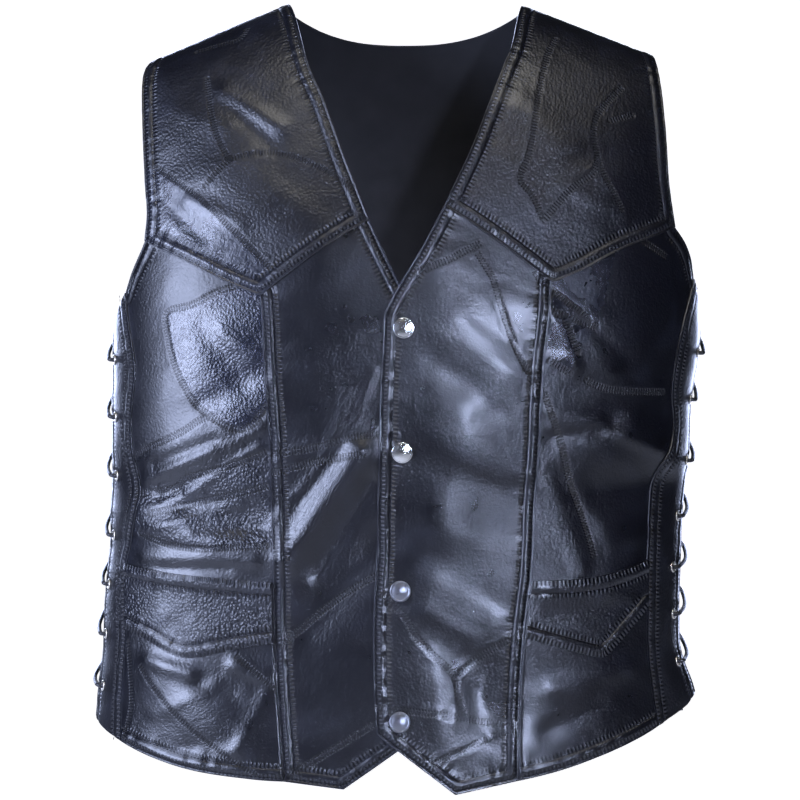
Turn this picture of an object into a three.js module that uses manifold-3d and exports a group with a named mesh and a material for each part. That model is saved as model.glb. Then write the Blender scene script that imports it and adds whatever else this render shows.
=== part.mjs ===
// A patchwork leather vest, filled out as it is when worn, with nobody in it.
// Millimetres. +Z is up, the fronts face -Y, and the wearer's left is +X.
// The origin lies between the shoulders, where the wearer holds the vest up.

import * as THREE from 'three';
import { mergeVertices } from 'three/addons/utils/BufferGeometryUtils.js';
import Module from 'manifold-3d';

const wasm = await Module();
wasm.setup();

// Driving dimensions

const LEATHER = 1.2; // thickness of one layer
const LAPPED = 2.4; // thickness of a piece whose edge is folded and sewn over its neighbour
const SEAM_GAP = 0.3; // air between two pieces that meet or lie on each other
const EDGE_PULL = 0.22; // how far each piece stops short of a shared seam line
const PLACKET_LIFT = 2.3; // how far the upper front stands off the lower one at the placket
const PLACKET_FADE = { from: 24, to: 66 }; // where, across the front, that lift dies out

const SECTION_POWER = 2.4; // an ellipse has 2; more is squarer at the sides
const CHEST = -300; // height above which the body arches over to the shoulders
const SIDE_X = 200; // where the height of the shoulders is read for points at the sides
const ARCH = 340; // length of a quarter of that arch is ARCH times pi / 2
const SHOULDER_SEAM = 40; // how far past the top of the arch the shoulder seam lies, along the arch
const SHOULDER = { peak: 43, round: 60, dropRight: 0.453, dropLeft: 0.412 };

// Sections of the body: height, half width, shift to the wearer's left, depth to the front and to the back.
const SECTIONS = [
  { z: 0, half: 226, shift: 4, front: 112, back: 102 },
  { z: -220, half: 226, shift: 5, front: 114, back: 106 },
  { z: -300, half: 222.5, shift: 0.5, front: 112, back: 98 },
  { z: -380, half: 220.5, shift: -2.5, front: 107, back: 92 },
  { z: -460, half: 222.5, shift: -6, front: 109, back: 98 },
  { z: -580, half: 229.5, shift: -4.5, front: 114, back: 108 },
];

// The largest folds: a ridge (or a trough, with a negative height) from one point of the front to another.
const FRONT_FOLDS = [
  { x1: -26, z1: -325, x2: -86, z2: -400, width: 17, height: 4.0 },
  { x1: -20, z1: -395, x2: -70, z2: -455, width: 18, height: -3.0 },
  { x1: 62, z1: -285, x2: 36, z2: -380, width: 26, height: 3.0 },
  { x1: 176, z1: -305, x2: 205, z2: -328, width: 13, height: 3.5 },
  { x1: 150, z1: -352, x2: 196, z2: -346, width: 16, height: -3.0 },
  { x1: 40, z1: -455, x2: 66, z2: -520, width: 24, height: -2.5 },
  { x1: -200, z1: -345, x2: -120, z2: -372, width: 16, height: -2.5 },
  { x1: -200, z1: -372, x2: -112, z2: -395, width: 14, height: 2.5 },
  { x1: -178, z1: -495, x2: -120, z2: -540, width: 20, height: 2.5 },
  { x1: -130, z1: -120, x2: -60, z2: -170, width: 26, height: 2.0 },
  { x1: 90, z1: -60, x2: 150, z2: -120, width: 26, height: 2.0 },
];
const BACK_FOLDS = [
  { x1: -190, z1: -300, x2: -70, z2: -345, width: 24, height: 3.0 },
  { x1: 185, z1: -320, x2: 60, z2: -352, width: 22, height: 3.0 },
  { x1: -175, z1: -375, x2: -95, z2: -400, width: 20, height: -3.0 },
  { x1: 170, z1: -392, x2: 82, z2: -412, width: 22, height: -2.5 },
  { x1: -40, z1: -180, x2: -55, z2: -300, width: 34, height: 2.5 },
  { x1: 52, z1: -150, x2: 38, z2: -290, width: 38, height: 2.5 },
];

// Cut lines of the two fronts as points [x, z], each from its lower end to its upper end or from the
// centre to the side.
const RIGHT = {
  name: 'right',
  sign: -1,
  neckFront: [[18, -226], [8, -210], [0, -196], [-11, -174]],
  neckCorner: [-23, -148],
  neckYoke: [[-41, -102], [-57, -57], [-73, -16]],
  neckTop: -87,
  yokePoint: [-104.5, -205],
  yokeInner: [[-64, -174.5]],
  yokeOuter: [[-127, -195.5], [-165, -176.5]],
  yokeArm: [-193.5, -162],
  armYoke: [[-192, -141], [-194, -117], [-196, -85], [-198, -53], [-198, -32]],
  armTop: -192,
  armFront: [[-198, -172], [-204, -185]],
  placket: [[20, -530], [21, -400], [20, -300]],
  placketFoot: [16, -533],
  tip: [-42, -573],
  tipEnd: [-46, -573],
  princess: {
    foot: [-87, -568],
    low: [[-91.5, -513]],
    chevron: [-94.4, -465],
    mouth: [-95, -420],
    high: [[-95.3, -386], [-98.8, -297], [-102, -252]],
  },
  hem: [[-113, -566.5], [-162, -560]],
  chevronLine: [[-124, -470], [-161.5, -477], [-191, -464]],
  mouthLine: [[-129, -417.5], [-171.5, -414]],
  seam: {
    foot: [-211, -543],
    low: [[-209.3, -500]],
    chevron: [-206.5, -457],
    mouth: [-207.3, -408],
    high: [[-203, -390], [-197, -356], [-203.5, -312], [-200.5, -262], [-205.5, -228]],
    top: [-209, -201],
  },
  stripFoot: -527, // heights of the strip's free edge at its two ends
  stripTop: -234,
  edge: [ // free edge of the front strip: heights and distances before the side line
    { z: -540, y: 20 },
    { z: -440, y: 15 },
    { z: -320, y: 22 },
    { z: -230, y: 12 },
  ],
  flare: 4, // how far the strip's lower corner curls out
  eyelets: [-503, -463, -425, -387, -341, -296, -252],
};
const LEFT = {
  name: 'left',
  sign: 1,
  neckFront: [[-12, -218], [0, -196], [17, -168]],
  neckCorner: [33, -137.5],
  neckYoke: [[51.5, -98.5], [64, -67], [78, -30], [87, -5]],
  neckTop: 95,
  yokePoint: [114, -195],
  yokeInner: [[64, -157.5]],
  yokeOuter: [[135, -186.5], [170, -168]],
  yokeArm: [209, -151],
  armYoke: [[205, -120], [203.5, -95], [202.5, -70], [200, -37]],
  armTop: 195.5,
  armFront: [[217.5, -163], [222.5, -176]],
  placket: [[-19.6, -500], [-18.2, -415], [-15.2, -297]],
  placketFoot: [-17.5, -533],
  tip: [40, -577.5],
  tipEnd: [44.5, -577.5],
  princess: {
    foot: [89, -567.5],
    low: [[90, -520]],
    chevron: [93.5, -461],
    mouth: [98.8, -419],
    high: [[101.3, -372], [106, -290], [110, -242]],
  },
  hem: [[118, -561], [148, -551.5]],
  chevronLine: [[113, -467], [147, -476.5], [157, -473], [170, -459]],
  mouthLine: [[137, -417.5], [163, -412.5]],
  seam: {
    foot: [194, -531.5],
    low: [[187, -483]],
    chevron: [186, -440],
    mouth: [186.2, -404],
    high: [[188.3, -368], [194.3, -337], [207, -305], [206, -272], [213.5, -230]],
    top: [225, -190],
  },
  stripFoot: -509,
  stripTop: -221,
  edge: [
    { z: -510, y: 22 },
    { z: -411, y: 29 },
    { z: -329, y: 15 },
    { z: -230, y: 5 },
  ],
  flare: 15,
  eyelets: [-484, -447, -411, -372, -329, -282, -246],
};

// The back: one piece, cut plainly, with its own two side strips.
const BACK = {
  hemSide: -532,
  hemCentre: -541,
  stripFoot: -527,
  stripTop: -228,
  stripEdge: 18, // how far behind the side line the back strips end
  stripWidth: 44,
  seamTop: -196,
  arm: [[191, -174], [192.5, -146], [192.5, -112], [193.5, -72], [196, -38]], // half widths and heights
  neckCentre: -2, // height of the back neck at its centre
  neckRound: 2.6,
};

// Numbers of cells along the shared seam lines, so that the pieces on both sides meet point to point.
const CELLS = {
  neck: 4,
  inner: 5,
  outer: 5,
  hem: 4,
  flap: 3,
  seam: 9,
  arm: 2,
  yoke: 14,
  backSeam: 14,
  backArm: 8,
  backNeck: 8,
};

// Radii and heights of an eyelet: its flange lies on the outside of the strip and its washer on the inside.
const EYELET = {
  bore: 2.0,
  barrel: 2.6,
  flange: 4.2,
  seat: 0.3,
  rim: 0.8,
  washerSeat: 0.85,
  washer: 0.6,
  sides: 8,
};
const CURL = { from: -468, to: -515, reach: 55 }; // heights between which a front strip's corner curls out
const EYELET_INSET = 14; // from the strip's edge to the row of eyelets
const EYELET_SHARE = 0.62; // where that row lies between the seam and the edge, for its height
const FRONT_ROWS = CELLS.hem + CELLS.flap + CELLS.seam + CELLS.arm;
const HOLE = EYELET.barrel + SEAM_GAP;
const SNAP = { radius: 7.9, height: 2.6, seat: 0.45, studRadius: 5.5, studHeight: 1.3, sides: 12 };
const SNAP_ROW = [[2.8, -229.5], [1.6, -322], [0.2, -426], [-0.2, -523.5]];
const LACE = {
  radius: 1.6,
  sides: 8,
  knot: 3.4,
  end: 5.4, // depth of the stop knots inside the strip
  outEnd: 5.2, // distance outside the body at an eyelet, next to it and half way across
  outBend: 6.2,
  outMiddle: 5.2,
  inEnd: 4.6, // the same on the inside
  inBend: 5.6,
  inMiddle: 4.8,
  bend: 0.08, // share of a crossing at which the lace is next to an eyelet
  span: 0.32, // and on its way
};
const LACE_RISE = 20; // each crossing climbs this much

// Form of the filled-out body

const clamp = THREE.MathUtils.clamp;
const lerp = THREE.MathUtils.lerp;
const rad = THREE.MathUtils.degToRad;
const deg = THREE.MathUtils.radToDeg;
const rimOf = (share) => Math.max(1 - Math.abs(share) ** SECTION_POWER, 0) ** (1 / SECTION_POWER);

/** The section at a height: smooth steps between the rows of SECTIONS. */
function sectionAt(z) {
  const height = clamp(z, SECTIONS.at(-1).z, 0);
  const i = SECTIONS.findIndex((row, k) => k > 0 && height >= row.z);
  const upper = SECTIONS[i - 1];
  const lower = SECTIONS[i];
  const t = THREE.MathUtils.smoothstep(height, lower.z, upper.z);
  const mix = (key) => lerp(lower[key], upper[key], t);
  return { half: mix('half'), shift: mix('shift'), front: mix('front'), back: mix('back') };
}

/** Height of the top of the shoulders above a point x. */
function ridgeAt(x) {
  const drop = x < 0 ? SHOULDER.dropRight : SHOULDER.dropLeft;
  return SHOULDER.peak - drop * (Math.hypot(x, SHOULDER.round) - SHOULDER.round);
}

/** Soft ridge of one fold at (x, z): a bell across its line that dies out past its two ends. */
function foldAt(fold, x, z) {
  const dx = fold.x2 - fold.x1;
  const dz = fold.z2 - fold.z1;
  const along = clamp(((x - fold.x1) * dx + (z - fold.z1) * dz) / (dx * dx + dz * dz), 0, 1);
  const distance = Math.hypot(x - fold.x1 - along * dx, z - fold.z1 - along * dz);
  return fold.height * Math.exp(-((distance / fold.width) ** 2));
}

/**
 * Point of the body: angle round it in degrees (0 at the centre front, 90 at the wearer's left side, 180 at
 * the centre back) and rise in millimetres, which is height below the chest and length along the arch above.
 */
function bodyPoint(angle, rise) {
  const beta = Math.max(rise, 0) / ARCH;
  const section = sectionAt(rise < 0 ? CHEST + rise : CHEST * (1 - Math.sin(beta)));
  const across = Math.sin(rad(angle));
  const facing = Math.sign(Math.cos(rad(angle))) * rimOf(across) * Math.cos(beta);
  const x = section.shift + section.half * across;
  const y = -facing * (facing >= 0 ? section.front : section.back);
  const z = rise < 0 ? CHEST + rise : CHEST + (ridgeAt(x) - CHEST) * Math.sin(beta);
  return new THREE.Vector3(x, y, z);
}

function bodyNormal(angle, rise) {
  const across = bodyPoint(angle + 0.5, rise).sub(bodyPoint(angle - 0.5, rise));
  const up = bodyPoint(angle, rise + 1).sub(bodyPoint(angle, rise - 1));
  return across.cross(up).normalize();
}

/** Point at a distance outside the body, folds included. */
function placed(spot, out) {
  const point = bodyPoint(spot.angle, spot.rise);
  const folds = point.y < 0 ? FRONT_FOLDS : BACK_FOLDS;
  const drape = folds.reduce((sum, fold) => sum + foldAt(fold, point.x, point.z), 0);
  return point.addScaledVector(bodyNormal(spot.angle, spot.rise), out + drape);
}

/** Direction out of a surface that lies at a distance, given as a function of the spot, outside the body. */
function outwardNormal(spot, distance) {
  const at = (turn, climb) => {
    const near = { angle: spot.angle + turn, rise: spot.rise + climb };
    return placed(near, distance(near));
  };
  return at(0.4, 0).sub(at(-0.4, 0)).cross(at(0, 2).sub(at(0, -2))).normalize();
}

/** Rise of a point of given x and z. */
function riseOf(x, z) {
  return z < CHEST ? z - CHEST : Math.asin(Math.min((z - CHEST) / (ridgeAt(x) - CHEST), 1)) * ARCH;
}

function sectionOfRise(rise) {
  return sectionAt(rise < 0 ? CHEST + rise : CHEST * (1 - Math.sin(rise / ARCH)));
}

/** Angle of a point x at a rise, measured on the front. */
function angleOfX(x, rise) {
  const section = sectionOfRise(rise);
  return deg(Math.asin(clamp((x - section.shift) / section.half, -1, 1)));
}

/** Spot at a height, y behind the side line (in front of it where y is negative), on the side of the sign. */
function sideSpot(z, y, sign) {
  const rise = riseOf(sign * SIDE_X, z);
  const section = sectionOfRise(rise);
  const depth = (y < 0 ? section.front : section.back) * Math.cos(Math.max(rise, 0) / ARCH);
  const angle = deg(Math.asin(rimOf(y / depth)));
  return { angle: sign * (y < 0 ? angle : 180 - angle), rise };
}

const onFront = ([x, z]) => {
  const rise = riseOf(x, z);
  return { angle: angleOfX(x, rise), rise };
};
const onBack = ([x, z]) => {
  const spot = onFront([x, z]);
  return { angle: 180 - spot.angle, rise: spot.rise };
};
const QUARTER_ARCH = (Math.PI / 2) * ARCH;
const MM_PER_DEGREE = 3; // mean length of a degree round the body

// Lines and patches on the body

/** Smooth curve through the spots, cut into a number of cells. */
function smoothLine(spots, cells) {
  const flat = spots.map((spot) => new THREE.Vector2(spot.angle * MM_PER_DEGREE, spot.rise));
  const spaced = new THREE.SplineCurve(flat).getSpacedPoints(cells);
  return spaced.map((point) => ({ angle: point.x / MM_PER_DEGREE, rise: point.y }));
}

/** Several lines end to end, each with its own number of cells. */
function joinLines(...lines) {
  return lines.reduce((whole, line) => whole.concat(line.slice(1)));
}

const reversed = (line) => [...line].reverse();
const mixSpots = (a, b, t) => ({ angle: lerp(a.angle, b.angle, t), rise: lerp(a.rise, b.rise, t) });

/** Grid of spots stretched between four border lines. */
function fillPatch(bottom, top, left, right) {
  const columns = bottom.length - 1;
  const rows = left.length - 1;
  const blend = (key, i, j) => {
    const u = i / columns;
    const v = j / rows;
    const sides = lerp(left[j][key], right[j][key], u) + lerp(bottom[i][key], top[i][key], v);
    const low = lerp(bottom[0][key], bottom[columns][key], u);
    const high = lerp(top[0][key], top[columns][key], u);
    return sides - lerp(low, high, v);
  };
  const spotAt = (i, j) => ({ angle: blend('angle', i, j), rise: blend('rise', i, j) });
  return left.map((_, j) => bottom.map((__, i) => spotAt(i, j)));
}

/** Moves the border spots on the named sides inwards, so that neighbours stay a seam gap apart. */
function pullIn(grid, sides) {
  const rows = grid.length - 1;
  const columns = grid[0].length - 1;
  const moved = grid.map((row) => row.map((spot) => ({ ...spot })));
  const pull = (j, i, nextRow, nextColumn) => {
    const here = moved[j][i];
    const inner = grid[nextRow][nextColumn];
    const length = bodyPoint(here.angle, here.rise).distanceTo(bodyPoint(inner.angle, inner.rise));
    moved[j][i] = mixSpots(here, inner, EDGE_PULL / length);
  };
  for (let j = 0; j <= rows; j += 1) {
    if (sides.includes('left')) pull(j, 0, j, 1);
    if (sides.includes('right')) pull(j, columns, j, columns - 1);
  }
  for (let i = 0; i <= columns; i += 1) {
    if (sides.includes('bottom')) pull(0, i, 1, i);
    if (sides.includes('top')) pull(rows, i, rows - 1, i);
  }
  return moved;
}

/** Closed wall over a grid of spots, from an inner to an outer distance outside the body. */
function wall(grid, inner, outer) {
  const rows = grid.length;
  const columns = grid[0].length;
  const distance = (value, spot) => (typeof value === 'function' ? value(spot) : value);
  const positions = [];
  for (const layer of [outer, inner]) {
    for (const spot of grid.flat()) positions.push(...placed(spot, distance(layer, spot)).toArray());
  }
  const index = [];
  const at = (j, i, layer = 0) => layer * rows * columns + j * columns + i;
  for (let j = 0; j < rows - 1; j += 1) {
    for (let i = 0; i < columns - 1; i += 1) {
      index.push(at(j, i), at(j, i + 1), at(j + 1, i + 1), at(j, i), at(j + 1, i + 1), at(j + 1, i));
      index.push(at(j, i, 1), at(j + 1, i + 1, 1), at(j, i + 1, 1));
      index.push(at(j, i, 1), at(j + 1, i, 1), at(j + 1, i + 1, 1));
    }
  }
  const loop = [];
  for (let i = 0; i < columns - 1; i += 1) loop.push([0, i]);
  for (let j = 0; j < rows - 1; j += 1) loop.push([j, columns - 1]);
  for (let i = columns - 1; i > 0; i -= 1) loop.push([rows - 1, i]);
  for (let j = rows - 1; j > 0; j -= 1) loop.push([j, 0]);
  loop.forEach(([j, i], k) => {
    const [nextRow, nextColumn] = loop[(k + 1) % loop.length];
    const a = at(j, i);
    const b = at(nextRow, nextColumn);
    const layer = rows * columns;
    index.push(a, a + layer, b + layer, a, b + layer, b);
  });
  const geometry = new THREE.BufferGeometry();
  geometry.setAttribute('position', new THREE.Float32BufferAttribute(positions, 3));
  geometry.setIndex(index);
  return geometry;
}

// Materials and nodes

const leather = (color) => new THREE.MeshStandardMaterial({ color, roughness: 0.35, metalness: 0 });
const metal = (color) => new THREE.MeshStandardMaterial({ color, roughness: 0.3, metalness: 1 });
const INK = 0x1c1e2a;
const SOFT_BLACK = 0x22222a;
const NICKEL = 0xc9c6bd;
const PEWTER = 0x8d8f99;

const vest = new THREE.Group();

function addNode(name, geometry, material) {
  geometry.computeVertexNormals();
  const mesh = new THREE.Mesh(geometry, material);
  mesh.name = name;
  vest.add(mesh);
  return mesh;
}

/** Spreads an object's own +Z along the direction out of the leather and puts it at a point. */
function standOn(mesh, point, normal) {
  mesh.position.copy(point);
  mesh.quaternion.setFromUnitVectors(new THREE.Vector3(0, 0, 1), normal);
}

// Solids with cut holes

function toManifold(geometry) {
  const bare = geometry.clone();
  bare.deleteAttribute('normal');
  bare.deleteAttribute('uv');
  const merged = mergeVertices(bare);
  const vertProperties = Float32Array.from(merged.attributes.position.array);
  const triVerts = Uint32Array.from(merged.index.array);
  return new wasm.Manifold(new wasm.Mesh({ numProp: 3, vertProperties, triVerts }));
}

function fromManifold(solid) {
  const mesh = solid.getMesh();
  const geometry = new THREE.BufferGeometry();
  geometry.setAttribute('position', new THREE.BufferAttribute(Float32Array.from(mesh.vertProperties), 3));
  geometry.setIndex(new THREE.BufferAttribute(Uint32Array.from(mesh.triVerts), 1));
  return geometry;
}

/** Cuts a round hole along the normal at each place. */
function pierce(geometry, places) {
  let solid = toManifold(geometry);
  for (const place of places) {
    const drill = new THREE.CylinderGeometry(HOLE, HOLE, 12, EYELET.sides);
    drill.rotateX(Math.PI / 2);
    const turn = new THREE.Quaternion().setFromUnitVectors(new THREE.Vector3(0, 0, 1), place.normal);
    drill.applyQuaternion(turn);
    drill.translate(...place.point.toArray());
    solid = solid.subtract(toManifold(drill));
  }
  return fromManifold(solid);
}

// Fronts

const placketLift = (spot) => {
  const { x } = bodyPoint(spot.angle, spot.rise);
  return PLACKET_LIFT * (1 - THREE.MathUtils.smoothstep(x, PLACKET_FADE.from, PLACKET_FADE.to));
};

/** The lines that the pieces of one front share. */
function frontLines(cut) {
  const princess = cut.princess;
  const seam = cut.seam;
  const line = (points, cells) => smoothLine(points.map(onFront), cells);
  return {
    princess: [
      line([princess.foot, ...princess.low, princess.chevron], CELLS.hem),
      line([princess.chevron, princess.mouth], CELLS.flap),
      line([princess.mouth, ...princess.high, cut.yokePoint], CELLS.seam + CELLS.arm),
    ],
    seam: [
      line([seam.foot, ...seam.low, seam.chevron], CELLS.hem),
      line([seam.chevron, seam.mouth], CELLS.flap),
      line([seam.mouth, ...seam.high, seam.top], CELLS.seam),
    ],
    armFront: line([seam.top, ...[...cut.armFront].reverse(), cut.yokeArm], CELLS.arm),
    yokeInner: line([cut.neckCorner, ...cut.yokeInner, cut.yokePoint], CELLS.inner),
    yokeOuter: line([cut.yokePoint, ...cut.yokeOuter, cut.yokeArm], CELLS.outer),
    neckFront: line([...cut.neckFront, cut.neckCorner], CELLS.neck),
    placket: line([cut.placketFoot, ...cut.placket, cut.neckFront[0]], FRONT_ROWS),
    hemPoint: joinLines(
      line([cut.placketFoot, cut.tip], CELLS.neck),
      line([cut.tip, cut.tipEnd, princess.foot], CELLS.inner),
    ),
    hem: line([princess.foot, ...cut.hem, seam.foot], CELLS.outer),
    chevron: line([princess.chevron, ...cut.chevronLine, seam.chevron], CELLS.outer),
    mouth: line([princess.mouth, ...cut.mouthLine, seam.mouth], CELLS.outer),
  };
}

/** Grid between border lines that run from the centre to the side, turned so that the angle always grows. */
function frontPatch(cut, bottom, top, centreSide, outerSide) {
  if (cut.sign > 0) return fillPatch(bottom, top, centreSide, outerSide);
  return fillPatch(reversed(bottom), reversed(top), outerSide, centreSide);
}

const sideNames = (cut, names) => names.map((name) => {
  if (name === 'centre') return cut.sign > 0 ? 'left' : 'right';
  if (name === 'outer') return cut.sign > 0 ? 'right' : 'left';
  return name;
});

function addCentreFront(cut, lines) {
  const top = joinLines(lines.neckFront, lines.yokeInner);
  const grid = frontPatch(cut, lines.hemPoint, top, lines.placket, joinLines(...lines.princess));
  const shaped = pullIn(grid, sideNames(cut, ['outer', 'top']));
  const lift = cut.sign > 0 ? placketLift : () => 0;
  const geometry = wall(shaped, lift, (spot) => lift(spot) + LEATHER);
  addNode(`front_center_${cut.name}`, geometry, leather(INK));
}

function addSideFront(cut, lines) {
  const seamLine = [lines.seam[0], lines.seam[1], joinLines(lines.seam[2], lines.armFront)];
  const low = frontPatch(cut, lines.hem, lines.chevron, lines.princess[0], seamLine[0]);
  const middle = frontPatch(cut, lines.chevron, lines.mouth, lines.princess[1], seamLine[1]);
  const high = frontPatch(cut, lines.mouth, lines.yokeOuter, lines.princess[2], seamLine[2]);
  const whole = [...low, ...middle.slice(1), ...high.slice(1)];
  const grid = pullIn(whole, sideNames(cut, ['centre', 'outer', 'top']));
  addNode(`front_side_${cut.name}`, wall(grid, 0, LEATHER), leather(INK));

  const pocketBase = LEATHER + SEAM_GAP;
  const pocketGrid = grid.slice(0, CELLS.hem + CELLS.flap + 1);
  addNode(`pocket_${cut.name}`, wall(pocketGrid, pocketBase, pocketBase + LEATHER), leather(INK));

  const flapBase = pocketBase + LEATHER + SEAM_GAP;
  const flapGrid = pocketGrid.slice(CELLS.hem);
  addNode(`pocket_flap_${cut.name}`, wall(flapGrid, flapBase, flapBase + LEATHER), leather(SOFT_BLACK));
}

/** Shoulder seam of one side, from the neck outwards. */
function shoulderLine(cut) {
  const rise = QUARTER_ARCH + SHOULDER_SEAM;
  const cells = CELLS.inner + CELLS.outer;
  return Array.from({ length: cells + 1 }, (_, i) => {
    const x = lerp(cut.neckTop, cut.armTop, i / cells);
    return { angle: angleOfX(x, rise), rise };
  });
}

function addYoke(cut, lines) {
  const seam = shoulderLine(cut);
  const ridgeSpot = (x) => ({ angle: angleOfX(x, QUARTER_ARCH), rise: QUARTER_ARCH });
  const edge = (points, x, last) => smoothLine([...points.map(onFront), ridgeSpot(x), last], CELLS.yoke);
  const neck = edge([cut.neckCorner, ...cut.neckYoke], cut.neckTop, seam[0]);
  const arm = edge([cut.yokeArm, ...cut.armYoke], cut.armTop, seam.at(-1));
  const grid = frontPatch(cut, joinLines(lines.yokeInner, lines.yokeOuter), seam, neck, arm);
  addNode(`yoke_${cut.name}`, wall(pullIn(grid, ['bottom', 'top']), 0, LAPPED), leather(SOFT_BLACK));
}

// Side strips with their eyelets

/** Value of a table column at a height, straight between its rows. */
function tableAt(rows, z) {
  const i = clamp(rows.findIndex((row) => row.z >= z), 1, rows.length - 1);
  const below = rows[i - 1];
  const above = rows[i];
  return lerp(below.y, above.y, clamp((z - below.z) / (above.z - below.z), 0, 1));
}

/** Grid of a strip: columns at the seam, half way, the eyelets, half way and the free edge. */
function stripGrid(sign, seam, footZ, topZ, edgeY, facing) {
  const first = bodyPoint(seam[0].angle, seam[0].rise).z;
  const last = bodyPoint(seam.at(-1).angle, seam.at(-1).rise).z;
  return seam.map((start) => {
    const z = bodyPoint(start.angle, start.rise).z;
    const rear = lerp(footZ, topZ, (z - first) / (last - first));
    const eyeletZ = lerp(z, rear, EYELET_SHARE);
    const eyelet = sideSpot(eyeletZ, facing * (edgeY(eyeletZ) + EYELET_INSET), sign);
    const edge = sideSpot(rear, facing * edgeY(rear), sign);
    const row = [start, mixSpots(start, eyelet, 0.5), eyelet, mixSpots(eyelet, edge, 0.5), edge];
    return sign * facing < 0 ? row : reversed(row);
  });
}

/** Places on the eyelet column of a strip's grid, at the given heights, on a surface off the body. */
function eyeletPlaces(grid, heights, distance) {
  const column = grid.map((row) => row[2]);
  const points = column.map((spot) => placed(spot, distance(spot)));
  return heights.map((z) => {
    const j = clamp(points.findIndex((point) => point.z >= z), 1, points.length - 1);
    const t = (z - points[j - 1].z) / (points[j].z - points[j - 1].z);
    const spot = mixSpots(column[j - 1], column[j], t);
    const point = points[j - 1].clone().lerp(points[j], t);
    return { spot, point, normal: outwardNormal(spot, distance) };
  });
}

/** One eyelet: barrel, rolled outer rim and inner washer; the inner face of the leather is at z = 0. */
function eyeletGeometry() {
  const { bore, barrel, flange, seat, rim, washerSeat, washer, sides } = EYELET;
  const under = LAPPED + seat;
  const profile = [
    [bore, -washerSeat - washer],
    [flange - 0.5, -washerSeat - washer],
    [barrel, -washerSeat],
    [barrel, under],
    [flange, under],
    [bore + 0.5, under + rim],
    [bore, -washerSeat - washer],
  ].map(([r, z]) => new THREE.Vector2(r, z));
  const geometry = new THREE.LatheGeometry(profile, sides);
  geometry.rotateX(Math.PI / 2);
  return geometry;
}

/** Distance that curls outwards towards the lower free corner of a front strip. */
function curled(cut, base) {
  return (spot) => {
    const point = bodyPoint(spot.angle, spot.rise);
    const down = THREE.MathUtils.smoothstep(-point.z, -CURL.from, -CURL.to);
    const near = point.y < 0 ? 1 - clamp(-point.y / CURL.reach, 0, 1) : 0;
    return base + cut.flare * down * near;
  };
}

function addEyelets(label, places) {
  places.forEach((place, k) => {
    const mesh = addNode(`eyelet_${label}_${k + 1}`, eyeletGeometry(), metal(NICKEL));
    standOn(mesh, place.point, place.normal);
  });
}

function addStrip(name, cut, grid, heights) {
  const places = eyeletPlaces(grid, heights, curled(cut, 0));
  const geometry = wall(grid, curled(cut, 0), curled(cut, LAPPED));
  addNode(`side_strip_${name}_${cut.name}`, pierce(geometry, places), leather(INK));
  addEyelets(`${name}_${cut.name}`, places);
  return places;
}

// Back

function backSeamLine(sign) {
  const y = BACK.stripEdge + BACK.stripWidth;
  return Array.from({ length: CELLS.backSeam + 1 }, (_, j) => {
    const z = lerp(BACK.hemSide, BACK.seamTop, j / CELLS.backSeam);
    return sideSpot(z, y, sign);
  });
}

const wrapBehind = (spot) => ({ angle: spot.angle < 0 ? spot.angle + 360 : spot.angle, rise: spot.rise });

function addBack() {
  const side = (cut) => {
    const seam = backSeamLine(cut.sign).map(wrapBehind);
    const overTop = (spot) => ({ angle: 180 - spot.angle, rise: 2 * QUARTER_ARCH - spot.rise });
    const shoulder = shoulderLine(cut).map(overTop);
    const armPoints = BACK.arm.map(([x, z]) => onBack([cut.sign * x, z]));
    const arm = smoothLine([seam.at(-1), ...armPoints, shoulder.at(-1)], CELLS.backArm);
    return { border: joinLines(seam, arm), shoulder, seam };
  };
  const left = side(LEFT);
  const right = side(RIGHT);
  const [start, end] = [left.shoulder[0], right.shoulder[0]].map((spot) => bodyPoint(spot.angle, spot.rise));
  const neck = Array.from({ length: CELLS.backNeck + 1 }, (_, i) => {
    const across = 2 * (i / CELLS.backNeck) - 1;
    const x = lerp(start.x, end.x, i / CELLS.backNeck);
    const corner = lerp(start.z, end.z, i / CELLS.backNeck);
    return onBack([x, lerp(BACK.neckCentre, corner, Math.abs(across) ** BACK.neckRound)]);
  });
  neck[0] = left.shoulder[0];
  neck[CELLS.backNeck] = right.shoulder[0];
  const top = joinLines(reversed(left.shoulder), neck, right.shoulder);
  const columns = top.length - 1;
  const bottom = Array.from({ length: columns + 1 }, (_, i) => {
    const u = i / columns;
    const angle = lerp(left.seam[0].angle, right.seam[0].angle, u);
    const z = lerp(BACK.hemCentre, BACK.hemSide, Math.abs(2 * u - 1) ** 2);
    return { angle, rise: z - CHEST };
  });
  const grid = pullIn(fillPatch(bottom, top, left.border, right.border), ['left', 'right']);
  const shouldersPulled = pullIn(grid, ['top']);
  addNode('back', wall(shouldersPulled, 0, LEATHER), leather(INK));
}

// Snaps

function addSnaps() {
  const { radius, height, seat, studRadius, studHeight, sides } = SNAP;
  const cap = [
    [0, 0],
    [radius - 0.6, 0],
    [radius, 0.7],
    [radius - 0.9, 1.5],
    [radius - 3.4, height - 0.3],
    [0, height],
  ];
  const stud = [
    [0, -studHeight],
    [studRadius - 1, -studHeight],
    [studRadius, -studHeight + 0.4],
    [studRadius, 0],
    [0, 0],
  ];
  const turned = (profile) => {
    const points = profile.map(([r, z]) => new THREE.Vector2(r, z));
    return new THREE.LatheGeometry(points, sides).rotateX(Math.PI / 2);
  };
  SNAP_ROW.forEach((place, k) => {
    const spot = onFront(place);
    const normal = bodyNormal(spot.angle, spot.rise);
    const capMesh = addNode(`snap_cap_${k + 1}`, turned(cap), metal(k < 2 ? NICKEL : PEWTER));
    standOn(capMesh, placed(spot, PLACKET_LIFT + LEATHER + seat), normal);
    const studMesh = addNode(`snap_stud_${k + 1}`, turned(stud), metal(NICKEL));
    standOn(studMesh, placed(spot, -seat), normal);
  });
}

// Laces

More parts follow.
